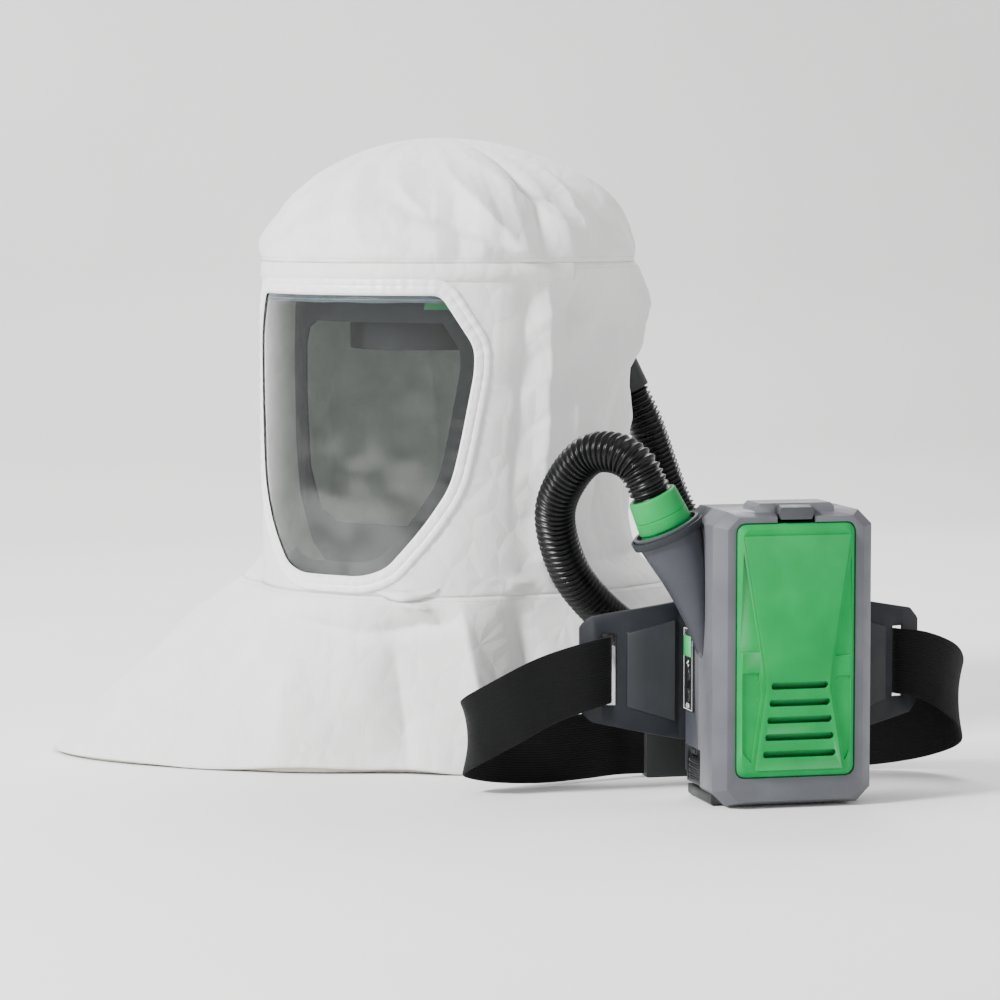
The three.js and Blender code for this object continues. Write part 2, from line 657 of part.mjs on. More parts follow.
function batteryPieces() {
  const { x0, x1, y0, y1, z0, z1 } = BATTERY;
  const pocket = block(x0 - 1, x0 + 8, 9.6, 24.4, z1 - 7, z1 + 1);
  const gripLines = steps(z0 + 4, z0 + 16, 3).map((z) => block(
    x0 - 1, x0 + 0.8, y0 + 6, y1 - 6, z, z + 1.6,
  ));
  const latch = join(
    block(x0 - 0.4, x0 + 7.4, 10, 24, z1 - 5, z1 - 0.3), block(x0 - 1.2, x0 + 0.2, 12, 22, z1 - 4, z1 - 1),
  );
  return {
    pack: mesh('battery_pack', cut(block(x0, x1, y0, y1, z0, z1), pocket, ...gripLines), '#1b1d1f', 0.55),
    latch: mesh('battery_latch', latch, '#3a3d40', 0.5),
  };
}

function baseFoot() {
  const ring = (z, inset) => [[-60, -20], [60, -20], [60, 40], [-60, 40]].map(([x, y]) => (
    v3(x - Math.sign(x) * inset, y + (y < 0 ? inset : -inset), z)));
  return mesh('base_foot', loft([ring(0, 2), ring(2, 0), ring(FOOT_H, 0)]), '#1a1c1e', 0.7);
}

// ---- outlet --------------------------------------------------------------
const outletWay = v3(-sin(OUTLET_TILT), 0, cos(OUTLET_TILT));
const alongOutlet = (d) => v3(...OUTLET_MOUTH).addScaledVector(outletWay, d).toArray();

function outletRing([x, y, z, ra, rb, tilt], shrink) {
  const a = degrees(tilt);
  return steps(0, 2 * PI, 28).slice(1).map((t) => {
    const across = (ra - shrink) * cos(t);
    return v3(x + across * cos(a), y + (rb - shrink) * sin(t), z + across * sin(a));
  });
}

function outletPieces() {
  const [mouthX, mouthY, mouthZ] = OUTLET_MOUTH;
  const spine = [[-62, -4, 114, 4, 5, 0], [-64, -2, 137, 10, 11, 6], [-70, 5, 170, 19, 20, 15],
    [-80, 9, 197, 25, 25, 22],
    [mouthX, mouthY, mouthZ, OUTLET_R, OUTLET_R, 25]];
  const beyond = [mouthX - 2, mouthY, mouthZ + 4.3, OUTLET_R, OUTLET_R, 25];
  const outer = loft(spine.map((s) => outletRing(s, 0)));
  const inner = loft([...spine.slice(1), beyond].map((s) => outletRing(s, 2.6)));
  const caseSide = block(-HALF_W - GAP, 0, -60, 60, 60, 260);
  const trim = cut(
    bar(alongOutlet(-8), alongOutlet(-2), 29.4, 30), bar(alongOutlet(-10), alongOutlet(1), 28), caseSide,
  );
  const seal = cut(
    bar(alongOutlet(-6), alongOutlet(-3), 22.6), bar(alongOutlet(-7), alongOutlet(-2), 20.6),
  );
  const cuff = cut(
    join(bar(alongOutlet(-9), alongOutlet(1), 20), bar(alongOutlet(0.5), alongOutlet(CUFF_LENGTH), 21, 19)),
    bar(alongOutlet(-10), alongOutlet(CUFF_LENGTH + 1), 13.5),
  );
  return {
    fixed: [
      mesh('outlet_funnel', cut(outer, inner, caseSide), '#6f7177', 0.5),
      mesh('outlet_trim', trim, '#4a4e51', 0.5),
      mesh('outlet_seal', seal, '#1d1f20', 0.8),
    ],
    cuff: mesh('blower_cuff', cuff, '#0fb862', 0.4),
  };
}

// ---- belt ----------------------------------------------------------------
function plateFront(x) {
  const t = max(0, (abs(x) - WING_START) / (PLATE_HALF - WING_START));
  return PLATE_Y + WING_SWEEP * t ** 1.6;
}

function beltPlate() {
  const stations = [0, 20, 45, 66, 78, 90, 102, 113, 123, 131, 137, 139];
  const all = [...stations.slice(1).map((x) => -x).reverse(), ...stations];
  const halfHeight = (x) => {
    const t = max(0, (abs(x) - WING_START) / (PLATE_HALF - WING_START));
    const corner = max(0, abs(x) - 131);
    return 54 - 14 * t - corner ** 1.5 * 0.35;
  };
  const slice = (x, y, depth, half) => [
    v3(x, y, PLATE_MID_Z - half), v3(x, y, PLATE_MID_Z + half), v3(x, y + depth, PLATE_MID_Z + half), v3(
      x, y + depth, PLATE_MID_Z - half,
    ),
  ];
  const plate = loft(all.map((x) => slice(x, plateFront(x), PLATE_T, halfHeight(x))));
  const pads = [-1, 1].map((side) => loft([70, 80, 92, 106].map((x) => (
    slice(side * x, plateFront(x) - 2.4, 3.4, halfHeight(x) - 14 - (x - 70) * 0.1)))));
  const slots = [-SLOT_X, SLOT_X].map((x) => block(
    x - 5, x + 5, 40, 80, PLATE_MID_Z - 28, PLATE_MID_Z + 28,
  ));
  return mesh('belt_plate', cut(join(plate, ...pads), ...slots), '#45474f', 0.5);
}

const WEB_Z = WEB_W / 2 + 2.5;
const BUCKLE = { x0: 121, x1: 160, x2: 200, y: 8 };

function webbingPieces() {
  const left = [[73, -64, 97], [69.5, -72, 97], [54, -77, 94], [20, -74, 83], [-12, -68, 66], [-34, -54, 50],
    [-34, -38, 39], [-14, -28, 32], [25, -22, WEB_Z], [65, -10, WEB_Z], [98, 6, WEB_Z],
    [BUCKLE.x0 - GAP, BUCKLE.y, WEB_Z]];
  const right = [[303, -64, 97], [306.5, -72, 97], [322, -77, 95], [345, -74, 85], [361, -60, 68],
    [364, -38, 50],
    [346, -14, 37], [312, 2, WEB_Z + 1], [275, BUCKLE.y, WEB_Z], [235, BUCKLE.y, WEB_Z],
    [BUCKLE.x2 + GAP, BUCKLE.y, WEB_Z]];
  return [
    mesh('webbing_left', strap(left, WEB_W, WEB_T, 44), '#1c1d1f', 0.9),
    mesh('webbing_right', strap(right, WEB_W, WEB_T, 40), '#1c1d1f', 0.9),
  ];
}

function bucklePieces() {
  const { x0, x1, x2, y } = BUCKLE;
  const mid = WEB_Z;
  const socket = cut(
    block(x0, x1 - GAP, y - 6.5, y + 6.5, mid - 28, mid + 28),
    block(x0 + 9, x1 + 1, y - 4, y + 4, mid - 22, mid + 22),
    block(x0 + 12.5, x0 + 29, y - 4, y + 4, mid - 30, mid + 30),
  );
  const plug = join(
    block(x1 + GAP, x2, y - 6.5, y + 6.5, mid - 28, mid + 28),
    block(x1 - 20, x1 + 1, y - 3, y + 3, mid - 4, mid + 4),
  );
  const prong = (side) => join(
    block(
      x1 - 25, x1 - 0.4, y - 3.2, y + 3.2, min(side * 16, side * 21) + mid,
      max(side * 16, side * 21) + mid,
    ),
    block(
      x1 - 25, x1 - 14, y - 3.2, y + 3.2, min(side * 20, side * 25.5) + mid,
      max(side * 20, side * 25.5) + mid,
    ),
  );
  const slider = cut(
    block(226, 244, y - 4, y + 4, 0.3, 56.7), block(225, 245, y - 1.6, y + 1.6, 1.9, 55.1),
  );
  return {
    fixed: [mesh('buckle_socket', socket, '#1a1b1d', 0.45), mesh('buckle_plug', plug, '#1a1b1d', 0.45)],
    upper: mesh('buckle_prong_upper', prong(1), '#1a1b1d', 0.45),
    lower: mesh('buckle_prong_lower', prong(-1), '#1a1b1d', 0.45),
    slider: mesh('belt_slider', slider, '#1a1b1d', 0.45),
  };
}

function caseScrews() {
  return screwPlaces().map(([x, z], i) => {
    const shank = bar([x, HALF_D - 4.6, z], [x, HALF_D - 0.4, z], 3, 3, 16);
    const drive = bar([x, HALF_D - 2.4, z], [x, HALF_D + 1, z], 1.4, 1.4, 6);
    return mesh(`case_screw_${i + 1}`, cut(shank, drive), '#9a9ea2', 0.35, 0.9);
  });
}

// ---- breathing hose ------------------------------------------------------
const hoseStart = v3(...alongOutlet(CUFF_LENGTH + GAP)).add(v3(...BLOWER_AT, 0));
const hoseFirst = v3(...alongOutlet(CUFF_LENGTH + 12)).add(v3(...BLOWER_AT, 0));

// A point given in the hood's own frame, placed with the hood.
function fromHood(point) {
  return point.clone().applyAxisAngle(v3(0, 0, 1), HOOD_YAW).add(v3(...HOOD_AT, 0));
}

const HOSE_MIDDLE = [
  [78.6, -114.7, 258.5], [67.4, -105.2, 267], [51.4, -87.2, 266.5], [37.9, -68.2, 248], [32, -48.2, 218],
  [48, -30, 172], [78, -14, 138], [112, 6, 115], [152, 36, 108], [194, 76, 116], [236, 122, 122],
  [262, 180, 116], [270, 230, 122], [256, 268, 148], [232, 294, 194],
];

function hosePath() {
  const end = fromHood(hoodCuffEnd.clone().addScaledVector(inletWay, GAP));
  const nearEnd = fromHood(hoodCuffEnd.clone().addScaledVector(inletWay, 26));
  const points = [hoseStart, hoseFirst, ...HOSE_MIDDLE.map((p) => v3(...p)), nearEnd, end];
  return new THREE.CatmullRomCurve3(points, false, 'centripetal');
}

function breathingHose() {
  const ring = new THREE.Shape(steps(0, 2 * PI, 10).slice(1).map((a) => (
    new THREE.Vector2(HOSE_R * cos(a), HOSE_R * sin(a)))));
  const tube = new THREE.ExtrudeGeometry(ring, { steps: 48, bevelEnabled: false, extrudePath: hosePath() });
  return mesh('breathing_hose', solid(tube), '#161718', 0.35);
}

// ---- assembly ------------------------------------------------------------
function group(pieces, x = 0, y = 0, turn = 0) {
  const made = new THREE.Group();
  made.position.set(x, y, 0);
  made.rotation.z = turn;
  made.add(...pieces);
  return made;
}

const status = statusPieces();
const drive = drivePieces();
const battery = batteryPieces();
const outlet = outletPieces();
const buckle = bucklePieces();

const blower = group([
  mesh('front_shell', frontShell(), '#85868c', 0.5),
  mesh('rear_shell', rearShell(), '#5a5c63', 0.55),
  filterCover(), coverLatch(), ...filterPieces(), scrollHousing(), ...drive.fan, ...drive.fixed,
  battery.pack, battery.latch, baseFoot(), status.plate, status.light, status.power, status.airflow,
  ...outlet.fixed, outlet.cuff, beltPlate(), ...caseScrews(),
], ...BLOWER_AT);

const hood = group(
  [...hoodPieces(), ...visorPieces(), ...harnessPieces(), ...inletPieces()], ...HOOD_AT, HOOD_YAW,
);
const belt = group([...webbingPieces(), ...buckle.fixed, buckle.upper, buckle.lower, buckle.slider]);

export default group([blower, hood, belt, breathingHose()], -FOOTPRINT_CENTRE[0], -FOOTPRINT_CENTRE[1]);
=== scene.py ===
"""Powered air respirator: the finished look of the hood, blower unit, belt and hose.

Everything is in metres, in the frame that the CAD model was packed in.
"""

import json
import math

import bmesh
import bpy
import numpy as np
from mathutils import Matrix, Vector


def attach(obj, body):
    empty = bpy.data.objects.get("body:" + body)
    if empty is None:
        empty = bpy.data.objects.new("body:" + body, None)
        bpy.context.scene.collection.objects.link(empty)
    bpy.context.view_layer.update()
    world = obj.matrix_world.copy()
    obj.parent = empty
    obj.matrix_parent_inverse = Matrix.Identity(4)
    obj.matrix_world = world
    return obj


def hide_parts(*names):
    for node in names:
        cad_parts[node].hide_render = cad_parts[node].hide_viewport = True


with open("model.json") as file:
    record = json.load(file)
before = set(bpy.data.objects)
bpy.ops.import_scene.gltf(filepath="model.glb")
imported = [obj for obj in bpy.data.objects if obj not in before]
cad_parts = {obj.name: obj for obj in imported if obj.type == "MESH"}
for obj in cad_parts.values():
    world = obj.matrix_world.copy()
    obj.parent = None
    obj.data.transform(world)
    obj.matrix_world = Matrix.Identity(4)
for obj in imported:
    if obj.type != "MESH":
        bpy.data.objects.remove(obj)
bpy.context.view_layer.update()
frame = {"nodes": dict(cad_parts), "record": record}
MM = 0.001
CAD_MERGE = 2e-6
FLAT_WITHIN = math.radians(0.6)

# ---- driving dimensions -----------------------------------------------------
SHIFT = np.array([-27.4, -93.8, 0.0]) * MM  # from the maker's drawing frame to the row frame
HOOD_AT = np.array([-3.0, 200.0, 0.0]) * MM + SHIFT
HOOD_YAW = math.radians(-50)
BLOWER_AT = np.array([188.0, -129.5, 0.0]) * MM + SHIFT

FRONT_R = 147 * MM
BACK_R = 172 * MM
TOP_Z = 512 * MM
BROW_Z = 410 * MM
NECK_Z = 143 * MM
DOME_POWER = 1.85
HEM_LONG = 325 * MM
HEM_SHORT = 150 * MM
HEM_ANGLE = math.radians(126)
CLOTH_T = 0.5 * MM
LIGHT_THROUGH = 0.16  # share of the light that passes through the cloth

HOSE_R = 15.5 * MM
HOSE_PITCH = 4.6 * MM
HOSE_ROUTE = [
    (0.06206, -0.2123, 0.23674), (0.05712, -0.2123, 0.24735), (0.0512, -0.2085, 0.2585),
    (0.0400, -0.1990, 0.2670), (0.0240, -0.1810, 0.2665), (0.0105, -0.1620, 0.2480),
    (0.0046, -0.1420, 0.2180), (0.0206, -0.1238, 0.1720), (0.0506, -0.1078, 0.1380),
    (0.0846, -0.0878, 0.1150), (0.1246, -0.0578, 0.1080), (0.1666, -0.0178, 0.1160),
    (0.2086, 0.0282, 0.1220), (0.2346, 0.0862, 0.1160), (0.2426, 0.1362, 0.1220),
    (0.2286, 0.1742, 0.1480), (0.2046, 0.2002, 0.1940), (0.17224, 0.19246, 0.27119),
    (0.16109, 0.19396, 0.29430),
]

WEB_W = 52 * MM
WEB_T = 2.0 * MM
WEB_Z = 28.5
LEFT_WEB = [
    (73, -64, 97), (69.5, -72, 97), (54, -77, 94), (20, -74, 83), (-12, -68, 66), (-34, -54, 50),
    (-34, -38, 39), (-14, -28, 32), (25, -22, WEB_Z), (65, -10, WEB_Z), (98, 6, WEB_Z), (120.7, 8, WEB_Z),
]
RIGHT_WEB = [
    (303, -64, 97), (306.5, -72, 97), (322, -77, 95), (345, -74, 85), (361, -60, 68), (364, -38, 50),
    (346, -14, 37), (312, 2, WEB_Z + 1), (275, 8, WEB_Z), (235, 8, WEB_Z), (200.3, 8, WEB_Z),
]
# Half of the lens's outline: millimetres round the curve from its middle, and height.
LENS_RIGHT = [
    (33, 152), (56, 160), (87, 195), (110, 229), (118, 262), (130, 323), (130, 345), (113, 371), (100, 391),
]
LENS_OUTLINE = np.array(LENS_RIGHT + [(-s, z) for s, z in LENS_RIGHT[::-1]], float)
TURN_R = 150  # mm, the hood's mean radius, on which folds are laid out
MM_PER_DEGREE = 2.6
FOLD_GAIN = 2.8


# ---- camera -----------------------------------------------------------------
def set_camera():
    """Stands the camera to the front left, a little above the middle of the object."""
    azimuth, elevation, distance = math.radians(-14), math.radians(4.5), 3.0
    target = Vector((-0.0274, -0.0938, 0.225))
    away = Vector((
        math.sin(azimuth) * math.cos(elevation),
        -math.cos(azimuth) * math.cos(elevation),
        math.sin(elevation),
    ))
    data = bpy.data.cameras.new("camera")
    data.lens = 137.2
    data.sensor_width = 36
    camera = bpy.data.objects.new("camera", data)
    camera.location = target + away * distance
    camera.rotation_euler = (-away).to_track_quat("-Z", "Y").to_euler()
    bpy.context.scene.collection.objects.link(camera)
    bpy.context.scene.camera = camera


# ---- node tools -------------------------------------------------------------
def add(tree, kind, inputs=None, **settings):
    """Adds a node of that kind, with its settings, and sets or links its inputs."""
    node = tree.nodes.new(kind)
    for key, value in settings.items():
        setattr(node, key, value)
    for key, value in (inputs or {}).items():
        if isinstance(value, bpy.types.NodeSocket):
            tree.links.new(value, node.inputs[key])
        else:
            node.inputs[key].default_value = value
    return node


def linear(colour):
    """An sRGB hex colour as the linear colour that the shaders use."""
    parts = [int(colour[i:i + 2], 16) / 255 for i in (1, 3, 5)]
    curve = [c / 12.92 if c <= 0.04045 else ((c + 0.055) / 1.055) ** 2.4 for c in parts]
    return (*curve, 1.0)


def ramp(tree, fac, low, high, colours):
    """A two-stop colour ramp between two values of fac."""
    node = add(tree, "ShaderNodeValToRGB", {"Fac": fac})
    stops = node.color_ramp.elements
    stops[0].position, stops[1].position = low, high
    stops[0].color, stops[1].color = colours
    return node.outputs["Color"]


def toned(tree, fac, low, high, dark, light):
    """A ramp between two hex colours."""
    return ramp(tree, fac, low, high, (linear(dark), linear(light)))


def graded(tree, fac, low, high, least, most):
    """A ramp between two plain values."""
    return ramp(tree, fac, low, high, ((least,) * 3 + (1.0,), (most,) * 3 + (1.0,)))


def grain(tree, coords, size, detail=3.0, rough=0.55):
    """Noise whose blotches are about size metres across."""
    inputs = {"Vector": coords, "Scale": 1 / size, "Detail": detail, "Roughness": rough}
    return add(tree, "ShaderNodeTexNoise", inputs).outputs["Fac"]


def maths(tree, operation, a, b=0.0):
    """One arithmetic node of that operation."""
    return add(tree, "ShaderNodeMath", {0: a, 1: b}, operation=operation).outputs[0]


def blended(tree, fac, a, b):
    """Mixes two colours by fac."""
    node = add(tree, "ShaderNodeMix", {"Factor": fac, "A": a, "B": b}, data_type="RGBA")
    return node.outputs["Result"]


def new_material(name):
    """An empty material with its tree and the object's own coordinates."""
    made = bpy.data.materials.new(name)
    made.use_nodes = True
    made.node_tree.nodes.clear()
    coords = add(made.node_tree, "ShaderNodeTexCoord").outputs["Object"]
    return made, made.node_tree, coords


def shade(tree, height=None, depth=0.0, glow=None, **inputs):
    """Ends a material with a Principled shader and a bump of that depth in metres.

    glow is the colour of the light that comes through thin cloth.
    """
    values = {key.replace("_", " ").title().replace("Ior", "IOR"): value for key, value in inputs.items()}
    shader = add(tree, "ShaderNodeBsdfPrincipled", values)
    if height is not None:
        bump = add(tree, "ShaderNodeBump", {"Height": height, "Distance": depth, "Strength": 1.0})
        tree.links.new(bump.outputs["Normal"], shader.inputs["Normal"])
    surface = shader.outputs["BSDF"]
    if glow is not None:
        through = add(tree, "ShaderNodeBsdfTranslucent", {"Color": glow}).outputs["BSDF"]
        both = add(tree, "ShaderNodeMixShader", {"Fac": LIGHT_THROUGH, 1: surface, 2: through})
        surface = both.outputs["Shader"]
    add(tree, "ShaderNodeOutputMaterial", {"Surface": surface})


# ---- materials --------------------------------------------------------------
def spunbonded_fabric(name, light, dark):
    """Spunbonded polyolefin fabric: matt, with a web of fibres, bond points and sharp small creases."""
    made, tree, coords = new_material(name)
    fibres = grain(tree, coords, 1.1 * MM, 4.0, 0.7)
    clouds = grain(tree, coords, 34 * MM, 2.0)
    bends = add(tree, "ShaderNodeVectorMath", {0: coords, 1: (1.0, 1.0, 0.8)}, operation="MULTIPLY")
    cells = add(tree, "ShaderNodeTexVoronoi", {"Vector": bends.outputs[0], "Scale": 1 / (21 * MM)},
                feature="DISTANCE_TO_EDGE")
    crease = maths(tree, "MINIMUM", cells.outputs["Distance"], 0.28)
    both = maths(tree, "ADD", maths(tree, "MULTIPLY", fibres, 0.1), maths(tree, "MULTIPLY", crease, 2.4))
    mottle = maths(tree, "ADD", maths(tree, "MULTIPLY", fibres, 0.5), maths(tree, "MULTIPLY", clouds, 0.5))
    tone = toned(tree, mottle, 0.36, 0.62, dark, light)
    shade(tree, both, 0.9 * MM, glow=tone, base_color=tone, roughness=0.72, sheen_weight=0.15,
          sheen_roughness=0.5, specular_ior_level=0.35)
    return made


def petg_sheet(name):
    """Clear PETG sheet: glassy, with the slow waves of a sheet that was rolled and bent by hand."""
    made, tree, coords = new_material(name)
    waves = grain(tree, coords, 60 * MM, 1.0)
    scuffs = grain(tree, coords, 3 * MM, 4.0, 0.8)
    rough = graded(tree, scuffs, 0.5, 0.8, 0.015, 0.06)
    shade(tree, waves, 1.2 * MM, base_color=linear("#f6fafa"), roughness=rough, ior=1.5,
          transmission_weight=1.0, specular_ior_level=0.25)
    return made


def smooth_tape(name, light, dark):
    """Coated polyester tape: smooth and slightly shiny, with fine pulls along it."""
    made, tree, coords = new_material(name)
    pulls = grain(tree, coords, 9 * MM, 3.0)
    weave = grain(tree, coords, 0.5 * MM, 1.0)
    height = maths(tree, "ADD", pulls, maths(tree, "MULTIPLY", weave, 0.1))
    shade(tree, height, 0.8 * MM, base_color=toned(tree, pulls, 0.35, 0.65, dark, light), roughness=0.38,
          coat_weight=0.25, coat_roughness=0.25)
    return made


def moulded_plastic(name, light, dark, roughness=0.45, texture=0.35, spark=0.06, coat=0.0, shine=0.35):
    """Injection-moulded ABS, nylon or acetal: spark-eroded grain, faint flow marks, lighter rubbed edges."""
    made, tree, coords = new_material(name)
    fine = grain(tree, coords, texture * MM, 2.0, 0.6)
    flow = grain(tree, coords, 38 * MM, 2.0)
    edges = add(tree, "ShaderNodeNewGeometry").outputs["Pointiness"]
    rubbed = maths(tree, "MULTIPLY", graded(tree, edges, 0.53, 0.66, 0.0, 1.0), 0.15)
    tone = blended(tree, rubbed, toned(tree, flow, 0.35, 0.65, dark, light), linear("#c9cccb"))
    smudge = graded(tree, grain(tree, coords, 15 * MM, 3.0), 0.3, 0.75, roughness - 0.06, roughness + 0.09)
    shade(tree, fine, spark * MM, base_color=tone, roughness=smudge, coat_weight=coat, coat_roughness=0.3,
          specular_ior_level=shine)
    return made


def soft_rubber(name, light, dark, roughness=0.42):
    """Moulded EPDM or silicone rubber: deep, a little glossy, with a dusty bloom in the hollows."""
    made, tree, coords = new_material(name)
    bloom = grain(tree, coords, 12 * MM, 4.0, 0.65)
    fine = grain(tree, coords, 0.6 * MM, 2.0)
    rough = graded(tree, bloom, 0.35, 0.7, roughness, roughness + 0.16)
    shade(tree, fine, 0.04 * MM, base_color=toned(tree, bloom, 0.42, 0.72, dark, light), roughness=rough,
          specular_ior_level=0.3)
    return made


def polyester_webbing(name, light, dark):
    """Woven polyester webbing: a tight twill of yarns 0.8 mm apart over its modelled ribs."""
    made, tree, coords = new_material(name)
    turned = add(tree, "ShaderNodeMapping", {"Vector": coords, "Rotation": (0.0, 0.0, math.radians(12))})
    waves = []
    for way, size, stray in (("X", 2.6, 0.6), ("Z", 2.2, 0.4)):
        inputs = {"Vector": turned.outputs[0], "Scale": 1 / (size * MM), "Distortion": stray}
        waves.append(add(tree, "ShaderNodeTexWave", inputs, bands_direction=way).outputs["Fac"])
    woven = maths(tree, "MULTIPLY", *waves)
    shade(tree, woven, 0.25 * MM, base_color=toned(tree, woven, 0.1, 0.8, dark, light), roughness=0.82,
          sheen_weight=0.1, sheen_roughness=0.4, specular_ior_level=0.25)
    return made


def filter_paper(name, light, dark):
    """Glass-microfibre filter paper: soft, fibrous and quite matt."""
    made, tree, coords = new_material(name)
    fibres = grain(tree, coords, 1.6 * MM, 5.0, 0.75)
    shade(tree, fibres, 0.2 * MM, base_color=toned(tree, fibres, 0.35, 0.65, dark, light), roughness=0.95)
    return made


def open_foam(name, light, dark):
    """Open-cell polyurethane foam: dark pores about a millimetre across."""
    made, tree, coords = new_material(name)
    pores = add(tree, "ShaderNodeTexVoronoi", {"Vector": coords, "Scale": 1 / (1.1 * MM)}).outputs["Distance"]
    shade(tree, pores, 0.3 * MM, base_color=toned(tree, pores, 0.15, 0.5, dark, light), roughness=0.95,
          sheen_weight=0.2)
    return made


def circuit_laminate(name):
    """Glass-epoxy board under green solder resist, with copper tracks that show through it."""
    made, tree, coords = new_material(name)
    tracks = add(tree, "ShaderNodeTexBrick", {"Vector": coords, "Scale": 90.0, "Mortar Size": 0.03,
                 "Color1": linear("#1d6a3a"), "Color2": linear("#237643"), "Mortar": linear("#4c9a55")})
    shade(tree, tracks.outputs["Fac"], 0.05 * MM, base_color=tracks.outputs["Color"], roughness=0.35)
    return made


def turned_steel(name):
    """Zinc-plated steel: bright, with fine turning marks and a faint dull bloom."""
    made, tree, coords = new_material(name)
    marks = grain(tree, coords, 0.4 * MM, 2.0)
    bloom = grain(tree, coords, 6 * MM, 3.0)
    tone = toned(tree, bloom, 0.35, 0.7, "#a9adb0", "#c9cccd")
    rough = graded(tree, bloom, 0.3, 0.7, 0.22, 0.38)
    shade(tree, marks, 0.02 * MM, base_color=tone, roughness=rough, metallic=1.0)
    return made


def floor_paper(name):
    """The pale matt floor."""
    made, tree, coords = new_material(name)
    clouds = grain(tree, coords, 0.4, 2.0)
    shade(tree, base_color=toned(tree, clouds, 0.3, 0.7, "#f3f3f2", "#f8f8f7"), roughness=0.9)
    return made


MATERIALS = {
    "hood_fabric": spunbonded_fabric("spunbonded hood fabric", "#fdfdfc", "#f5f5f4"),
    "bib_fabric": spunbonded_fabric("coated inner bib fabric", "#f0ebdc", "#e6e0cd"),
    "clear_visor": petg_sheet("clear PETG sheet"),
    "white_binding": smooth_tape("white polyester tape", "#fbfbfa", "#f1f2f2"),
    "seam_tape": smooth_tape("blue-grey polyester tape", "#5d6c77", "#4a5963"),
    "frame_grey": moulded_plastic("dark grey nylon", "#14181f", "#0e1218", 0.5, shine=0.25),
    "case_light_grey": moulded_plastic("light grey ABS", "#5f6066", "#56575d", 0.42),
    "case_mid_grey": moulded_plastic("mid grey ABS", "#3b3d44", "#34363c", 0.46),
    "cover_green": moulded_plastic("green ABS", "#00984a", "#008d43", 0.4, shine=0.1),
    "panel_black": moulded_plastic("gloss black polycarbonate", "#16181a", "#111315", 0.2, 0.5, 0.01, 0.5),
    "black_plastic": moulded_plastic("black acetal", "#101214", "#0a0b0d", 0.42, shine=0.25),
    "status_green": moulded_plastic("green indicator acrylic", "#18c062", "#0fa853", 0.15, 0.5, 0.01, 0.6),
    "icon_white": moulded_plastic("white printed ink", "#f2f3f3", "#e2e4e4", 0.5, 0.4, 0.01),
    "hose_rubber": soft_rubber("black hose rubber", "#08090a", "#030304", 0.24),
    "belt_webbing": polyester_webbing("black polyester webbing", "#0b0c0d", "#020203"),
    "filter_media": filter_paper("filter paper", "#eceee8", "#d8dbd2"),
    "seal_rubber": soft_rubber("silicone seal", "#2a2c2d", "#17191a", 0.5),
    "foam_black": open_foam("black polyurethane foam", "#2c2e30", "#0b0c0c"),
    "board_green": circuit_laminate("circuit board"),
    "bright_steel": turned_steel("zinc-plated steel"),
    # Painted shade: the reverse of the hood fabric is as white as its face, and this grey stands in for the
    # shade inside the hood.
    "painted_shade_reverse": spunbonded_fabric("grey reverse of the hood fabric", "#c3c8c2", "#a9afa9"),
    "thread": smooth_tape("white sewing thread", "#e9e9e6", "#d4d5d2"),
    "floor": floor_paper("floor paper"),
}


# ---- mesh tools -------------------------------------------------------------
def new_object(name, verts, faces, slot, smooth=True, inner_slot=None):
    """A mesh object at the origin in one of the finishes."""
    mesh = bpy.data.meshes.new(name)
    mesh.from_pydata([tuple(v) for v in np.asarray(verts, float)], [], faces)
    mesh.validate()
    mesh.shade_smooth() if smooth else mesh.shade_flat()
    piece = bpy.data.objects.new(name, mesh)
    bpy.context.scene.collection.objects.link(piece)
    mesh.materials.append(MATERIALS[slot])
    if inner_slot:
        mesh.materials.append(MATERIALS[inner_slot])
    piece["finish"] = slot
    return piece


def worked(piece, *steps):
    """Runs bmesh steps over the piece's mesh."""
    work = bmesh.new()
    work.from_mesh(piece.data)
    for step in steps:
        step(work)
    work.to_mesh(piece.data)
    work.free()
    return piece


def merging(distance):
    """A step that merges points nearer than the distance."""
    return lambda work: bmesh.ops.remove_doubles(work, verts=work.verts, dist=distance)


def without_loose(work):
    """A step that drops points no face uses."""
    loose = [v for v in work.verts if not v.link_faces]
    bmesh.ops.delete(work, geom=loose, context="VERTS")


def flats_whole(work):
    """A step that turns flat patches into single faces."""
    bmesh.ops.dissolve_limit(work, angle_limit=FLAT_WITHIN, verts=work.verts, edges=work.edges)


def outward(work):
    """A step that turns every face outwards."""
    bmesh.ops.recalc_face_normals(work, faces=work.faces)


def cleaned(piece, merge=1e-6):
    """Merges doubles and turns every face outwards."""
    return worked(piece, merging(merge), without_loose, outward)


def baked(piece):
    """Turns the piece's modifiers into a plain mesh and removes them."""
    bpy.context.view_layer.update()
    graph = bpy.context.evaluated_depsgraph_get()
    mesh = bpy.data.meshes.new_from_object(piece.evaluated_get(graph), depsgraph=graph)
    mesh.name = piece.name
    piece.modifiers.clear()
    piece.data = mesh
    return piece


def sharpened(piece, degrees):
    """Smooth faces with sharp edges where they meet at more than that angle."""
    piece.data.shade_smooth()
    piece.data.set_sharp_from_angle(angle=math.radians(degrees))
    return piece


def bevelled(piece, width, segments=2):
    """Rounds every edge of the piece by that width."""
    bevel = piece.modifiers.new("edge", "BEVEL")
    bevel.width = width
    bevel.segments = segments
    bevel.angle_limit = math.radians(32)
    bevel.harden_normals = False
    return sharpened(baked(piece), 40)


def placed(piece, body, *nodes):
    """Ends a piece: the CAD nodes that it stands for, and the body that it moves with."""
    if nodes:
        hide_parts(*nodes)
    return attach(piece, body)


def body_of_node(node):
    """The body that a CAD node moves with."""
    for body, nodes in frame["record"]["behaviour"]["bodies"].items():
        if node in nodes:
            return body
    return "root"


def slot_of_node(node):
    """The finish that the record gives a CAD node."""
    for part in frame["record"]["subparts"]:
        if part["node"] == node:
            return part["material_slot"]
    raise KeyError(node)


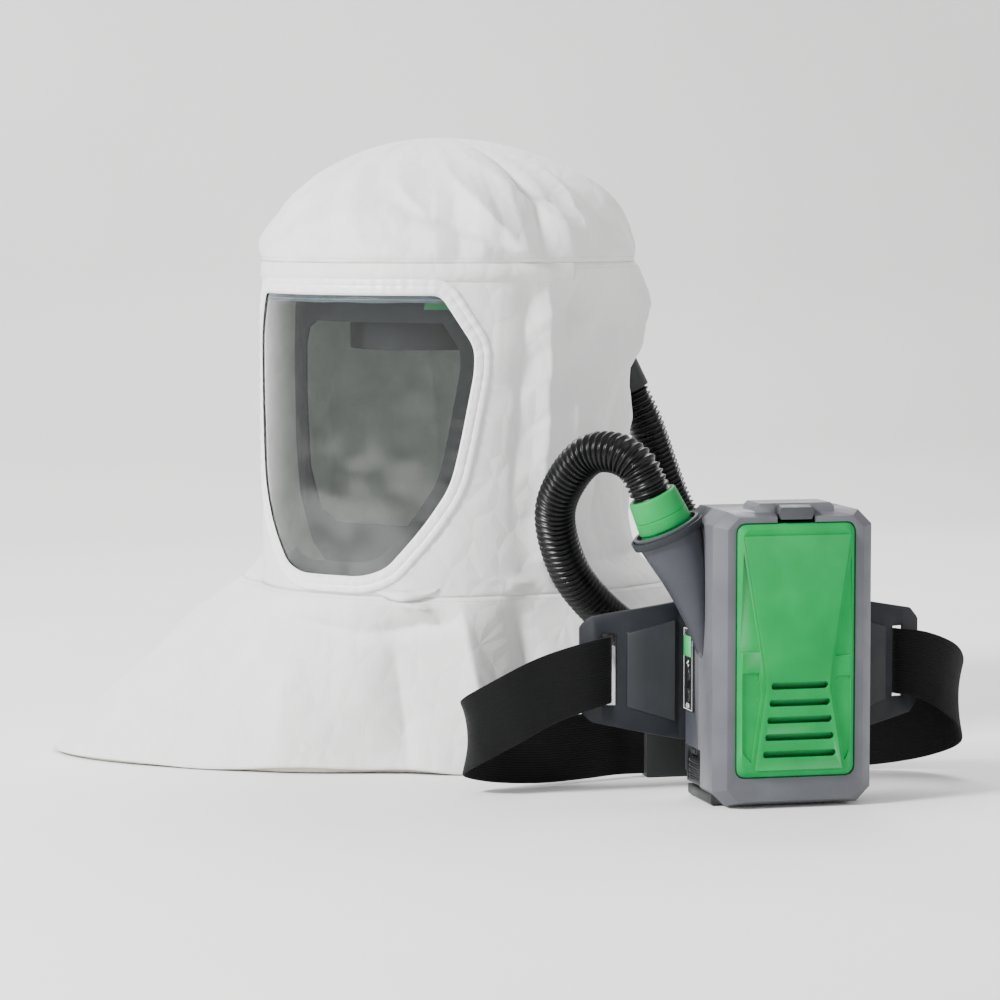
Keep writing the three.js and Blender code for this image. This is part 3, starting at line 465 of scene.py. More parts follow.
def node_copy(name, node, finish):
    """A copy of a CAD node's mesh in the row frame, in one finish."""
    copy = bpy.data.objects.new(name, frame["nodes"][node].data.copy())
    bpy.context.scene.collection.objects.link(copy)
    copy.data.transform(frame["nodes"][node].matrix_world)
    copy.data.materials.clear()
    copy.data.materials.append(MATERIALS[finish])
    copy["finish"] = finish
    return copy


def refined(node, bevel=0.35, slot=None):
    """A fine copy of a CAD node: merged, with flat faces whole and every edge rounded."""
    copy = node_copy(f"fine_{node}", node, slot or slot_of_node(node))
    worked(copy, merging(CAD_MERGE), flats_whole, outward)
    bevelled(copy, bevel * MM)
    return placed(copy, body_of_node(node), node)


def grid_faces(rows, columns, closed=False, start=0):
    """Quads between rows of points; closed joins the last column to the first."""
    wide = columns if closed else columns - 1
    return [
        (start + r * columns + c, start + r * columns + (c + 1) % columns,
         start + (r + 1) * columns + (c + 1) % columns, start + (r + 1) * columns + c)
        for r in range(rows - 1) for c in range(wide)
    ]


def lofted(name, rings, slot):
    """A skin through closed rings that all have the same count, with both ends filled."""
    rings = np.asarray(rings, float)
    rows, count = rings.shape[:2]
    faces = grid_faces(rows, count, closed=True)
    faces += [tuple(range(count))[::-1], tuple(range((rows - 1) * count, rows * count))]
    return cleaned(new_object(name, rings.reshape(-1, 3), faces, slot))


def tube_wall(name, outer, inner, slot):
    """A hollow tube, open at both ends, from rings outside and rings inside."""
    outer, inner = np.asarray(outer, float), np.asarray(inner, float)
    around = np.concatenate([outer, inner[::-1], outer[:1]])
    rows, count = around.shape[:2]
    return cleaned(new_object(name, around.reshape(-1, 3), grid_faces(rows, count, closed=True), slot))


def rounded_outline(points, radius, steps=5):
    """The outline with every corner turned into a short curve."""
    points = np.asarray(points, float)
    made = []
    for i, corner in enumerate(points):
        before, after = points[i - 1] - corner, points[(i + 1) % len(points)] - corner
        reach = min(radius, 0.45 * np.linalg.norm(before), 0.45 * np.linalg.norm(after))
        a = corner + before / np.linalg.norm(before) * reach
        b = corner + after / np.linalg.norm(after) * reach
        for t in np.linspace(0, 1, steps + 1):
            made.append((1 - t) ** 2 * a + 2 * t * (1 - t) * corner + t ** 2 * b)
    return np.array(made)


def evenly(points, count):
    """A closed outline resampled at equal steps."""
    points = np.asarray(points, float)
    loop = np.vstack([points, points[:1]])
    run = np.concatenate([[0], np.cumsum(np.linalg.norm(np.diff(loop, axis=0), axis=1))])
    at = np.linspace(0, run[-1], count + 1)[:-1]
    return np.stack([np.interp(at, run, loop[:, k]) for k in range(points.shape[1])], axis=1)


def catmull(points, per_span=24):
    """A centripetal Catmull-Rom curve through the points, as three.js draws it."""
    p = np.asarray(points, float)
    p = np.vstack([2 * p[0] - p[1], p, 2 * p[-1] - p[-2]])
    made = []
    for i in range(1, len(p) - 2):
        gaps = [max(np.linalg.norm(p[i + k] - p[i + k - 1]) ** 0.5, 1e-6) for k in (0, 1, 2)]
        d0, d1, d2 = gaps
        m1 = ((p[i] - p[i - 1]) / d0 - (p[i + 1] - p[i - 1]) / (d0 + d1) + (p[i + 1] - p[i]) / d1) * d1
        m2 = ((p[i + 1] - p[i]) / d1 - (p[i + 2] - p[i]) / (d1 + d2) + (p[i + 2] - p[i + 1]) / d2) * d1
        for t in np.arange(per_span) / per_span:
            h = (2 * t**3 - 3 * t**2 + 1, t**3 - 2 * t**2 + t, 3 * t**2 - 2 * t**3, t**3 - t**2)
            made.append(h[0] * p[i] + h[1] * m1 + h[2] * p[i + 1] + h[3] * m2)
    return np.array(made + [p[-2]])


def full_turn(count):
    """The angles of that many even steps round a circle."""
    return np.linspace(0, 2 * math.pi, count, endpoint=False)


def smoothstep(x, low, high):
    """0 below low, 1 above high, and an S-shaped rise between them."""
    t = np.clip((np.asarray(x, float) - low) / (high - low), 0, 1)
    return t * t * (3 - 2 * t)


# ---- geometry node trees ----------------------------------------------------
def node_group(name, sockets):
    """An empty geometry tree with a geometry input and output and the named inputs."""
    tree = bpy.data.node_groups.new(name, "GeometryNodeTree")
    tree.interface.new_socket("Geometry", in_out="INPUT", socket_type="NodeSocketGeometry")
    for socket, kind in sockets:
        tree.interface.new_socket(socket, in_out="INPUT", socket_type=f"NodeSocket{kind}")
    tree.interface.new_socket("Geometry", in_out="OUTPUT", socket_type="NodeSocketGeometry")
    return tree, add(tree, "NodeGroupInput").outputs


def close_group(tree, shape, material):
    """Every tree ends in Realize Instances and Set Material."""
    real = add(tree, "GeometryNodeRealizeInstances", {"Geometry": shape}).outputs[0]
    done = add(tree, "GeometryNodeSetMaterial", {"Geometry": real, "Material": material}).outputs[0]
    add(tree, "NodeGroupOutput", {"Geometry": done})
    return tree


def ribbed_tube_tree():
    """A tube along a path, with rings that swell and narrow at an even pitch."""
    floats = [(name, "Float") for name in ("Radius", "Depth", "Pitch")]
    tree, given = node_group("ribbed tube", [*floats, ("Sides", "Int"), ("Material", "Material")])
    curve = add(tree, "GeometryNodeMeshToCurve", {"Mesh": given["Geometry"]}).outputs["Curve"]
    step = maths(tree, "DIVIDE", given["Pitch"], 8.0)
    even = add(tree, "GeometryNodeResampleCurve", {"Curve": curve, "Length": step}, mode="LENGTH")
    along = add(tree, "GeometryNodeSplineParameter").outputs["Length"]
    turn = maths(tree, "MULTIPLY", maths(tree, "DIVIDE", along, given["Pitch"]), 2 * math.pi)
    wave = maths(tree, "MULTIPLY", maths(tree, "SUBTRACT", maths(tree, "COSINE", turn), 1.0), 0.5)
    swell = maths(tree, "ADD", given["Radius"], maths(tree, "MULTIPLY", wave, given["Depth"]))
    circle = add(tree, "GeometryNodeCurvePrimitiveCircle", {"Resolution": given["Sides"], "Radius": 1.0})
    parts = {"Curve": even.outputs["Curve"], "Profile Curve": circle.outputs["Curve"], "Scale": swell,
             "Fill Caps": True}
    tube = add(tree, "GeometryNodeCurveToMesh", parts).outputs["Mesh"]
    smooth = add(tree, "GeometryNodeSetShadeSmooth", {"Geometry": tube}).outputs[0]
    return close_group(tree, smooth, given["Material"])


def stitch_tree():
    """Thread stitches laid end to end along a path."""
    floats = [(name, "Float") for name in ("Spacing", "Length", "Thickness")]
    tree, given = node_group("stitches", [*floats, ("Material", "Material")])
    curve = add(tree, "GeometryNodeMeshToCurve", {"Mesh": given["Geometry"]}).outputs["Curve"]
    inputs = {"Curve": curve, "Length": given["Spacing"]}
    points = add(tree, "GeometryNodeCurveToPoints", inputs, mode="LENGTH")
    sides = {"X": given["Thickness"], "Y": given["Thickness"], "Z": given["Length"]}
    size = add(tree, "ShaderNodeCombineXYZ", sides)
    bead = add(tree, "GeometryNodeMeshUVSphere", {"Segments": 6, "Rings": 4, "Radius": 0.5}).outputs["Mesh"]
    placed_at = add(tree, "GeometryNodeInstanceOnPoints", {
        "Points": points.outputs["Points"], "Instance": bead,
        "Rotation": points.outputs["Rotation"], "Scale": size.outputs[0]}).outputs["Instances"]
    return close_group(tree, placed_at, given["Material"])


def copies_tree():
    """The same small shape at every point, turned alike."""
    tree, given = node_group("copies", [("Shape", "Object"), ("Material", "Material")])
    points = add(tree, "GeometryNodeMeshToPoints", {"Mesh": given["Geometry"]}).outputs["Points"]
    shape = add(tree, "GeometryNodeObjectInfo", {"Object": given["Shape"]}).outputs["Geometry"]
    many = add(tree, "GeometryNodeInstanceOnPoints", {"Points": points, "Instance": shape})
    return close_group(tree, many.outputs["Instances"], given["Material"])


def grown_by(tree, name, verts, edges, slot, **values):
    """Runs a geometry tree over points and edges and keeps the result as a plain mesh."""
    mesh = bpy.data.meshes.new(name)
    mesh.from_pydata([tuple(v) for v in verts], edges, [])
    piece = bpy.data.objects.new(name, mesh)
    bpy.context.scene.collection.objects.link(piece)
    modifier = piece.modifiers.new(tree.name, "NODES")
    modifier.node_group = tree
    values["Material"] = MATERIALS[slot]
    for item in tree.interface.items_tree:
        if item.in_out == "INPUT" and item.name in values:
            modifier[item.identifier] = values[item.name]
    piece["finish"] = slot
    return cleaned(baked(piece), 1e-8)


def along_path(tree, name, path, slot, closed=False, **values):
    """Runs a geometry tree along a line of points."""
    edges = [(i, i + 1) for i in range(len(path) - 1)]
    if closed:
        edges.append((len(path) - 1, 0))
    return grown_by(tree, name, path, edges, slot, **values)


def copied(name, shape, points, slot):
    """The shape repeated at every point; the first one is removed."""
    piece = grown_by(TREES["copies"], name, points, [], slot, Shape=shape)
    bpy.data.objects.remove(shape)
    return piece


def stitched(name, line, spacing, length, thickness, closed=False):
    """A row of thread stitches along a line, in mm."""
    stitches = along_path(TREES["stitches"], name, line, "thread", closed=closed, Spacing=spacing * MM,
                          Length=length * MM, Thickness=thickness * MM)
    placed(stitches, "root")


TREES = {"tube": ribbed_tube_tree(), "stitches": stitch_tree(), "copies": copies_tree()}

# ---- breathing hose ---------------------------------------------------------
def make_hose():
    """The corrugated hose, from the green cuff to the cuff at the back of the hood."""
    path = catmull(HOSE_ROUTE)
    hose = along_path(TREES["tube"], "ribbed_hose", path, "hose_rubber",
                      Radius=HOSE_R + 0.6 * MM, Depth=2.6 * MM, Pitch=HOSE_PITCH, Sides=28)
    placed(hose, "root", "breathing_hose")
    return path


# ---- hood surfaces ----------------------------------------------------------
# Angles run from the wearer's nose towards the wearer's left, as seen from above.
def front_angle(phi):
    """The angle from the wearer's nose, whichever the side."""
    return np.abs((phi + math.pi) % (2 * math.pi) - math.pi)


def head_radius(phi):
    """The hood's radius at the head: least in front, most behind."""
    return FRONT_R + (BACK_R - FRONT_R) * smoothstep(front_angle(phi), math.pi / 2.9, math.pi)


def hem_radius(phi):
    """The hem's distance from the axis: an ellipse turned in plan."""
    a = phi - HEM_ANGLE
    return HEM_LONG * HEM_SHORT / np.hypot(HEM_SHORT * np.cos(a), HEM_LONG * np.sin(a))


def hood_radius(phi, z):
    """The plain hood's distance from its upright axis."""
    share = np.clip((z - BROW_Z) / (TOP_Z - BROW_Z), 0, 1)
    dome = head_radius(phi) * (1 - share**DOME_POWER) ** (1 / DOME_POWER)
    start = NECK_Z + 24 * MM * smoothstep(front_angle(phi), 0.75, 1.3)
    flare = np.clip((start - z) / start, 0, 1) ** 0.9
    body = head_radius(phi) * (1 - flare) + hem_radius(phi) * flare
    return np.where(z > BROW_Z, dome, body)


def in_hood(points):
    """Moves points from the hood's own frame into the row frame."""
    points = np.asarray(points, float)
    c, s = math.cos(HOOD_YAW), math.sin(HOOD_YAW)
    turned = np.stack([points[..., 0] * c - points[..., 1] * s,
                       points[..., 0] * s + points[..., 1] * c, points[..., 2]], axis=-1)
    return turned + HOOD_AT


def polar(radius, phi, z):
    """Points from a distance, an angle from the nose and a height."""
    radius, phi, z = np.broadcast_arrays(radius, phi, z)
    return np.stack([radius * np.sin(phi), -radius * np.cos(phi), z], axis=-1)


# Each fold: start angle and height, end angle and height (degrees, mm), half width, rise (mm).
CROWN_FOLDS = [
    (39, 492, 62, 426, 11, 5.0), (16, 462, 60, 424, 9, -4.0), (78, 508, 74, 432, 8, -4.5),
    (52, 500, 84, 440, 12, 4.5), (95, 505, 92, 430, 10, 4.0), (30, 440, 70, 414, 10, 3.5),
    (112, 500, 128, 424, 12, 5.0), (68, 470, 96, 452, 7, -3.0), (20, 474, 34, 446, 6, 2.5),
    (-20, 500, -34, 430, 16, 2.5), (-70, 495, -90, 424, 14, 4.0), (150, 500, 160, 430, 12, -4.0),
    (190, 498, 182, 425, 13, 4.0), (232, 500, 240, 424, 12, -4.0), (262, 490, 250, 420, 10, 4.0),
]
HEAD_FOLDS = [
    (57, 400, 55, 300, 6, 2.8), (66, 385, 60, 200, 7, -3.0), (74, 405, 70, 170, 9, 3.2),
    (92, 400, 82, 340, 12, -4.0), (104, 350, 88, 262, 11, 5.0), (112, 300, 96, 190, 11, -4.5),
    (124, 402, 118, 330, 14, 6.0), (130, 330, 122, 180, 12, -4.5), (84, 300, 74, 160, 10, 4.0),
    (150, 395, 156, 200, 13, 4.5), (176, 310, 172, 150, 12, -5.0), (198, 405, 204, 160, 12, 4.5),
    (222, 380, 216, 200, 12, -4.5), (246, 400, 252, 180, 13, 4.5), (272, 390, 268, 160, 11, -4.0),
    (286, 404, 290, 170, 9, 3.0), (160, 260, 190, 236, 10, 3.5), (232, 300, 262, 262, 10, 3.5),
    (48, 158, 66, 152, 4, 4.0), (36, 160, 52, 148, 5, 2.5),
]
CAPE_FOLDS = [
    (-20, 122, 12, 112, 7, -3.5), (12, 112, 42, 124, 7, -3.0), (24, 140, 34, 132, 4, 4.5),
    (-46, 128, -52, 20, 14, 5.0), (-30, 118, -28, 10, 18, -4.0), (-8, 96, -6, 8, 22, 4.0),
    (22, 104, 27, 8, 20, -4.5), (44, 132, 52, 8, 16, 5.0), (62, 138, 72, 8, 16, -6.0),
    (80, 140, 92, 8, 16, 5.5), (98, 140, 108, 8, 18, -6.0), (118, 138, 126, 8, 20, 6.0),
    (140, 138, 150, 8, 16, -6.5), (164, 140, 170, 8, 17, 6.0), (186, 138, 190, 8, 16, -6.5),
    (208, 140, 212, 8, 17, 6.0), (230, 138, 232, 8, 18, -6.0), (252, 140, 252, 8, 16, 6.0),
    (274, 138, 268, 8, 18, -6.0), (292, 138, 284, 8, 16, 5.0), (-70, 120, -44, 96, 9, 3.5),
]


def fold_height(phi, z, folds):
    """The rise and fall of pinched folds, each a soft-sided ridge or valley along a line."""
    total = np.zeros(np.broadcast(phi, z).shape)
    degrees = np.degrees(phi) % 360
    for a0, z0, a1, z1, width, rise in folds:
        off = (degrees - (a0 + a1) / 2 % 360 + 180) % 360 - 180
        start = -(a1 - a0) / 2 * MM_PER_DEGREE
        dx, dy = -2 * start, z1 - z0
        x, y = off * MM_PER_DEGREE - start, z / MM - z0
        near = np.clip((x * dx + y * dy) / (dx * dx + dy * dy), 0, 1)
        away = np.hypot(x - near * dx, y - near * dy)
        taper = np.sin(math.pi * (0.08 + 0.84 * near)) ** 0.7
        total += FOLD_GAIN * rise * MM * taper * np.exp(-(away / width) ** 1.2)
    return total


def crumple(phi, z, size, rise, seed):
    """Flat facets that meet in straight creases, as stiff thin cloth has after it was packed flat."""
    rng = np.random.default_rng(seed)
    total = np.zeros(np.broadcast(phi, z).shape)
    x, w, y = np.sin(phi) * TURN_R, -np.cos(phi) * TURN_R, z / MM
    for turn in range(7):
        way = rng.normal(size=3)
        way /= np.linalg.norm(way)
        wander = 0.35 * (np.sin(x / 47 + turn) + np.sin(w / 41 + 2 * turn)) + 0.3 * np.sin(y / 37 + 3 * turn)
        run = (x * way[0] + w * way[1] + y * way[2]) / (size * rng.uniform(0.7, 1.6))
        phase = run + wander + rng.uniform(0, 9)
        spots = np.sin(x / 61 + 5 * turn) * np.sin(y / 53 + 2 * turn) + np.cos(w / 57 + turn) * 0.5
        total += (np.abs(phase % 2 - 1) - 0.5) * smoothstep(spots, -0.3, 0.9)
    return total * rise * MM / 0.9


def kept_clear(points, path, clearance):
    """Presses cloth away from the hose wherever it would come nearer than the clearance."""
    flat = points.reshape(-1, 3)
    for start in range(0, len(flat), 4000):
        some = flat[start:start + 4000]
        away = some[:, None, :] - path[None, ::3, :]
        gaps = np.linalg.norm(away, axis=2)
        nearest = gaps.argmin(axis=1)
        gap = gaps[np.arange(len(some)), nearest]
        close = gap < clearance
        way = away[np.arange(len(some)), nearest] / np.maximum(gap, 1e-6)[:, None]
        some[close] += way[close] * (clearance - gap[close])[:, None]
    return flat.reshape(points.shape)


def cloth_radius(phi, z, inset=0.0):
    """The hood's outer face with its folds, which lie down round the visor, and its pressed seams."""
    crown = smoothstep(z, 402 * MM, 422 * MM)
    cape = 1 - smoothstep(z, 128 * MM, 158 * MM)
    head = (1 - crown) * (1 - cape)
    relief = crown * (fold_height(phi, z, CROWN_FOLDS) + crumple(phi, z, 22, 4.6, 5))
    relief += head * (fold_height(phi, z, HEAD_FOLDS) + crumple(phi, z, 24, 3.4, 8))
    relief += cape * (fold_height(phi, z, CAPE_FOLDS) + crumple(phi, z, 34, 2.8, 11))
    near_visor = np.clip((70 - np.degrees(front_angle(phi))) / 12, 0, 1)
    near_visor = near_visor * smoothstep(z, 142 * MM, 152 * MM) * (1 - smoothstep(z, 405 * MM, 420 * MM))
    relief = relief * (1 - 0.88 * near_visor)
    for seam_z in (BROW_Z, NECK_Z):
        relief = relief - 0.9 * MM * np.exp(-((z - seam_z) / (2.2 * MM)) ** 2)
    side = np.degrees(phi) % 360
    behind = smoothstep(side, 80, 120) * smoothstep(-side, -330, -270)
    relief = relief + 3.0 * MM * np.exp(-((z - 421 * MM) / (9 * MM)) ** 2) * behind
    return hood_radius(phi, z) - inset + relief


def lens_limit(z):
    """Half the lens's width, measured round its curve, at a height in metres."""
    outline = rounded_outline(LENS_OUTLINE, 9)
    right = outline[outline[:, 0] > 0]
    order = np.argsort(right[:, 1])
    return np.interp(z / MM, right[order, 1], right[order, 0], left=-1, right=-1) * MM


def cloth_shell(name, heights, slot, turns, window=False, hem_wave=0.0, inset=0.0, shaded_reverse=False, path=None):
    """One panel ring of the hood, from its lowest height to its highest, with a real thickness."""
    phi = full_turn(turns)
    rows = heights[:, None] * MM
    lift = hem_wave * MM * (np.sin(5 * phi + 1.0) + 0.6 * np.sin(11 * phi + 2.2))
    share = np.clip(1 - (rows - rows.min()) / (40 * MM), 0, 1)
    z = rows + lift[None, :] * share
    points = in_hood(polar(cloth_radius(phi[None, :], z, inset), phi[None, :], z))
    if path is not None:
        points = kept_clear(points, path, HOSE_R + 2.0 * MM)
    faces = grid_faces(len(heights), turns, closed=True)
    if window:
        centre = front_angle(phi + math.pi / turns) * FRONT_R
        limit = lens_limit((heights[1:] + heights[:-1]) / 2 * MM)
        keep = (centre[None, :] > limit[:, None] + 1.0 * MM).ravel()
        faces = [face for face, wanted in zip(faces, keep) if wanted]
    # When asked for, the inner faces take the second material, which is grey painted shade.
    piece = new_object(name, points.reshape(-1, 3), faces, slot, inner_slot="painted_shade_reverse" if shaded_reverse else None)
    return thickened(cleaned(piece), CLOTH_T, shaded_reverse)


def thickened(piece, thickness, second=False):
    """Gives cloth or sheet its thickness, inwards."""
    thick = piece.modifiers.new("cloth", "SOLIDIFY")
    thick.thickness = thickness
    thick.offset = -1
    if second:
        # The inner faces take the second material: painted shade on the reverse of the cloth.
        thick.material_offset = 1
    return baked(piece)


def make_crown():
    """The crown panel, drawn in to a point of cloth at the top."""
    rise = (TOP_Z - BROW_Z) / MM - 0.1
    dome = BROW_Z / MM + rise * np.sin(np.linspace(0.31, 1.565, 46))
    levels = np.concatenate([np.linspace(410, 440, 14), dome])
    levels = np.unique(np.round(levels, 2))
    turns = 420
    phi = full_turn(turns)[None, :]
    z = levels[:, None] * MM
    radius = cloth_radius(phi, z)
    plain = hood_radius(phi, z)
    radius = plain + (radius - plain) * np.clip(radius / (45 * MM), 0, 1)
    points = in_hood(polar(radius, phi, z)).reshape(-1, 3)
    faces = grid_faces(len(levels), turns, closed=True)
    top = len(points)
    last = top - turns
    faces += [(last + i, last + (i + 1) % turns, top) for i in range(turns)]
    points = np.vstack([points, points[last:].mean(axis=0) + (0, 0, 0.1 * MM)])
    # Its inner faces take the grey painted shade of the hood's inside.
    crown = new_object("hood_crown", points, faces, "hood_fabric", inner_slot="painted_shade_reverse")
    return thickened(cleaned(crown), CLOTH_T, True)


def cut_size(low, high, inset=0.0, window=0.0):
    """(width, length, area) of the cloth before it was folded.

    It is the plain pattern between two heights in mm, less the window's area.
    """
    phi = np.linspace(0, 2 * math.pi, 241)
    z = np.linspace(low, high, 60)[:, None] * MM
    plain = polar(hood_radius(phi[None, :], z) - inset, phi[None, :], z)
    up = np.linalg.norm(np.diff(plain, axis=0), axis=2)
    across = np.linalg.norm(np.diff(plain, axis=1), axis=2)
    area = float((up[:, :-1] * (across[1:] + across[:-1]) / 2).sum())
    width = float(up.sum(axis=0).mean())
    return width, area / width, area - window


def declare_cloth(piece, nodes, size):
    """Ends a sheet: the CAD panels that it stands for. size, the size that it was cut to, is not used."""
    placed(piece, "root", *nodes)


def make_hood(path):
    """The crown, the head panels round the visor, the cape and the inner bib."""
    crown = make_crown()
    # The head panel's inner faces take the grey painted shade of the hood's inside.
    head = cloth_shell("hood_sides", np.linspace(143, 410, 108), "hood_fabric", 420, window=True, shaded_reverse=True,
                       path=path)
    cape_heights = np.concatenate([np.linspace(3, 130, 46), np.linspace(133, 143, 7)])
    cape = cloth_shell("hood_cape", cape_heights, "hood_fabric", 560, hem_wave=1.6, path=path)
    bib = cloth_shell("cream_bib", np.linspace(0.6, 136, 40), "bib_fabric", 480, inset=7 * MM)
    window = sum(2 * lens_limit(np.array([z * MM]))[0] * 2 * MM for z in range(153, 391, 2))
    sides = ("front", "right", "back", "left")
    head_nodes = ["front_panel", "right_side_panel", "back_panel", "left_side_panel"]
    declare_cloth(crown, ["crown_panel"], cut_size(410, 511.8))
    declare_cloth(head, head_nodes, cut_size(143, 410, window=window))
    declare_cloth(cape, [f"cape_{side}" for side in sides], cut_size(3, 143))
    declare_cloth(bib, ["inner_bib"], cut_size(0.6, 136, inset=7 * MM))


def seam_points(z, from_deg, to_deg, out, count=400):
    """A level line on the hood's outer face, a little proud of it."""
    phi = np.radians(np.linspace(from_deg, to_deg, count))
    height = np.full(count, z * MM)
    return in_hood(polar(cloth_radius(phi, height) + out * MM, phi, height))


def make_seams():
    """Folded seams and their stitches at the brow and the neck."""
    for name, z, start, end in (("brow_stitches", 405.5, -80, 280), ("neck_stitches", 140, -180, 180),
                                ("upper_brow_stitches", 414, -80, 280)):
        stitched(name, seam_points(z, start, end, 0.15), 3.0, 2.3, 0.55)
    section = [(396, 0.2), (396.4, 1.1), (403, 1.5), (409, 1.3), (410, 0.4), (410, -0.3), (396, -0.3)]
    brow = [[polar(cloth_radius(phi, z * MM) + out * MM, phi, z * MM) for z, out in section]
            for phi in np.radians(np.linspace(-84, 84, 150))]
    placed(lofted("brow_band", in_hood(np.array(brow)), "hood_fabric"), "root")


# ---- visor ------------------------------------------------------------------
def round_lens(points, out):
    """Distance round the curve, height, and distance out from the hood's front (mm)."""
    points = np.asarray(points, float)
    phi = points[..., 0] * MM / FRONT_R
    radius = FRONT_R + np.asarray(out, float) * MM
    return polar(np.broadcast_to(radius, phi.shape), phi, points[..., 1] * MM)


def make_lens():
    """The bent clear sheet, a little wavy, with pulled puckers along its taped edge."""
    z = np.linspace(152.2, 390.8, 90)
    half = lens_limit(z * MM) / MM
    across = np.linspace(-1, 1, 100)
    s = half[:, None] * across[None, :]
    heights = np.broadcast_to(z[:, None], s.shape)
    edge = np.exp(-(half[:, None] - np.abs(s)) / 6)
    pucker = 0.7 * edge * np.sin(heights / 2.9) * np.sin(heights / 7.7 + s / 9)
    corner = np.exp(-((s - 108) ** 2 + (heights - 380) ** 2) / 18**2) * np.sin(s / 2.1 + heights / 3.3)
    out = -0.9 + 0.35 * np.sin(heights / 52 + s / 80) + pucker * 0.5 + 0.5 * corner
    points = in_hood(round_lens(np.stack([s, heights], axis=-1), out))
    lens = new_object("clear_lens", points.reshape(-1, 3), grid_faces(90, 100), "clear_visor")
    placed(thickened(cleaned(lens), 0.9 * MM), "root", "visor_lens")


def lens_edge():
    """The line of the lens's taped edge, in even steps."""
    return evenly(rounded_outline(LENS_OUTLINE, 16), 560)


def grown(outline, distance):
    """Moves an outline outwards along its own sides."""
    outline = np.asarray(outline, float)
    along = np.roll(outline, -1, axis=0) - np.roll(outline, 1, axis=0)
    out = np.stack([along[:, 1], -along[:, 0]], axis=1)
    return outline + out / np.linalg.norm(out, axis=1)[:, None] * distance


def make_binding():
    """The tape sewn round the lens: domed across, with small gathers where it turns."""
    outline = lens_edge()
    along = full_turn(len(outline))
    gather = 0.25 * np.sin(97 * along) + 0.2 * np.sin(61 * along + 1)
    section = [(-6.6, 0.2), (-6.4, 0.9), (-4.4, 1.8), (-2.0, 2.1), (0.6, 1.6), (1.2, 1.3), (2.0, 1.9),
               (4.6, 2.2), (6.6, 1.5), (7.0, 0.6), (6.8, 0.2)]
    rings = []
    for offset, out in section:
        shape = grown(outline, offset)
        rings.append(round_lens(shape, out + gather * (out > 1)))
    rings = in_hood(np.array(rings))
    count = len(outline)
    faces = grid_faces(len(section), count, closed=True)
    last = (len(section) - 1) * count
    faces += [(last + i, last + (i + 1) % count, (i + 1) % count, i) for i in range(count)]
    binding = cleaned(new_object("lens_binding", rings.reshape(-1, 3), faces, "white_binding"))
    placed(sharpened(binding, 60), "root", "visor_binding")
    line = in_hood(round_lens(grown(outline, -4.9), np.full(count, 1.9)))
    stitched("binding_stitches", line, 3.2, 2.4, 0.5, closed=True)


def make_gasket():
    """The dark rubber edge that seals the face frame to the lens's lower and outer side."""
    outline = lens_edge()
    part = [i for i, (s, z) in enumerate(outline) if s > -62 and z < 372 and (s > 0 or z < 260)]
    gap = max(range(len(part)), key=lambda k: part[k] - part[k - 1] if k else 0)
    part = part[gap:] + part[:gap] if part[gap] - part[gap - 1] > 1 else part
    section = [(-2.0, -3.0), (-2.0, -4.4), (-9.0, -5.4), (-17.0, -8.0), (-17.0, -6.6), (-9.0, -4.0)]
    shapes = [round_lens(grown(outline, offset), out) for offset, out in section]
    rings = [[shape[i] for shape in shapes] for i in part]
    gasket = lofted("frame_gasket", in_hood(np.array(rings)), "seal_rubber")
    placed(sharpened(gasket, 50), "root")


def make_brow_tape():
    """The blue-grey double tape under the lens's top edge, with its dotted sewing line."""
    rows = []
    for s in np.linspace(-101, 101, 120):
        low = 378.5 + 0.3 * math.sin(s / 9)
        ring = [(low, -2.2), (low, -1.8), (low + 4.4, -1.6), (low + 4.8, -1.9), (low + 5.2, -1.6),
                (low + 9.6, -1.6), (low + 9.6, -2.2)]
        rows.append([round_lens([s, z], out) for z, out in ring])
    tape = lofted("brow_tape", in_hood(np.array(rows)), "seam_tape")
    placed(sharpened(tape, 50), "root")
    s = np.linspace(-99, 99, 240)
    for name, z in (("brow_tape_dots", 381.0), ("upper_brow_tape_dots", 386.0)):
        line = in_hood(round_lens(np.stack([s, np.full(240, z)], axis=1), np.full(240, -1.55)))
        stitched(name, line, 1.6, 0.8, 0.6)


def make_neck_pieces():
    """The soft tail of cloth that stands out under the binding."""
    rows = []
    for t in np.linspace(0, 1, 16):
        phi = math.radians(17 + 20 * t)
        drop = 8 * math.sin(math.pi * t) ** 0.6
        out = 3.5 * math.sin(math.pi * t)
        z = (147 + 3 * t) * MM
        top = polar(cloth_radius(np.array(phi), np.array(z)), phi, z)
        low_z = z - drop * MM
        low = polar(cloth_radius(np.array(phi), np.array(low_z)) + (out + 0.6) * MM, phi, low_z)
        middle = (top + low) / 2 + polar(2.2 * math.sin(math.pi * t) * MM + 0.4 * MM, phi, 0.0)
        rows.append([top, middle, low])
    points = in_hood(np.array(rows))
    tail = new_object("neck_tuck", points.reshape(-1, 3), grid_faces(16, 3), "hood_fabric")
    placed(thickened(cleaned(tail), CLOTH_T), "root")


def make_harness():
    """The headband, its crown strap, nape band, ratchet knob and padded sweatband."""
    nodes = ["headband", "nape_band", "crown_strap", "ratchet_knob", "face_frame", "visor_clip", "air_duct"]
    for node in nodes:
        refined(node, 0.4)
    rings = []
    for phi in np.radians(np.linspace(-47, 47, 70)):
        end = min(1.0, (math.radians(47) - abs(phi)) * 9 + 0.15)
        ring = []
        for a in full_turn(20):
            thick = 2.9 * abs(math.cos(a)) ** 0.7 * math.copysign(1, math.cos(a)) * end
            rise = 12.4 * abs(math.sin(a)) ** 0.6 * math.copysign(1, math.sin(a)) * (0.85 + 0.15 * end)
            inset = 5.5 - thick
            ring.append(((80 - inset) * math.sin(phi), 22 - (98 - inset) * math.cos(phi), 352 + rise))
        rings.append(ring)
    pad = lofted("forehead_pad", in_hood(np.array(rings) * MM), "foam_black")
    placed(pad, "root", "sweatband")


# ---- blower -----------------------------------------------------------------
def at_blower(points):
    """Moves points from the blower's own frame (mm) into the row frame."""
    return np.asarray(points, float) * MM + BLOWER_AT


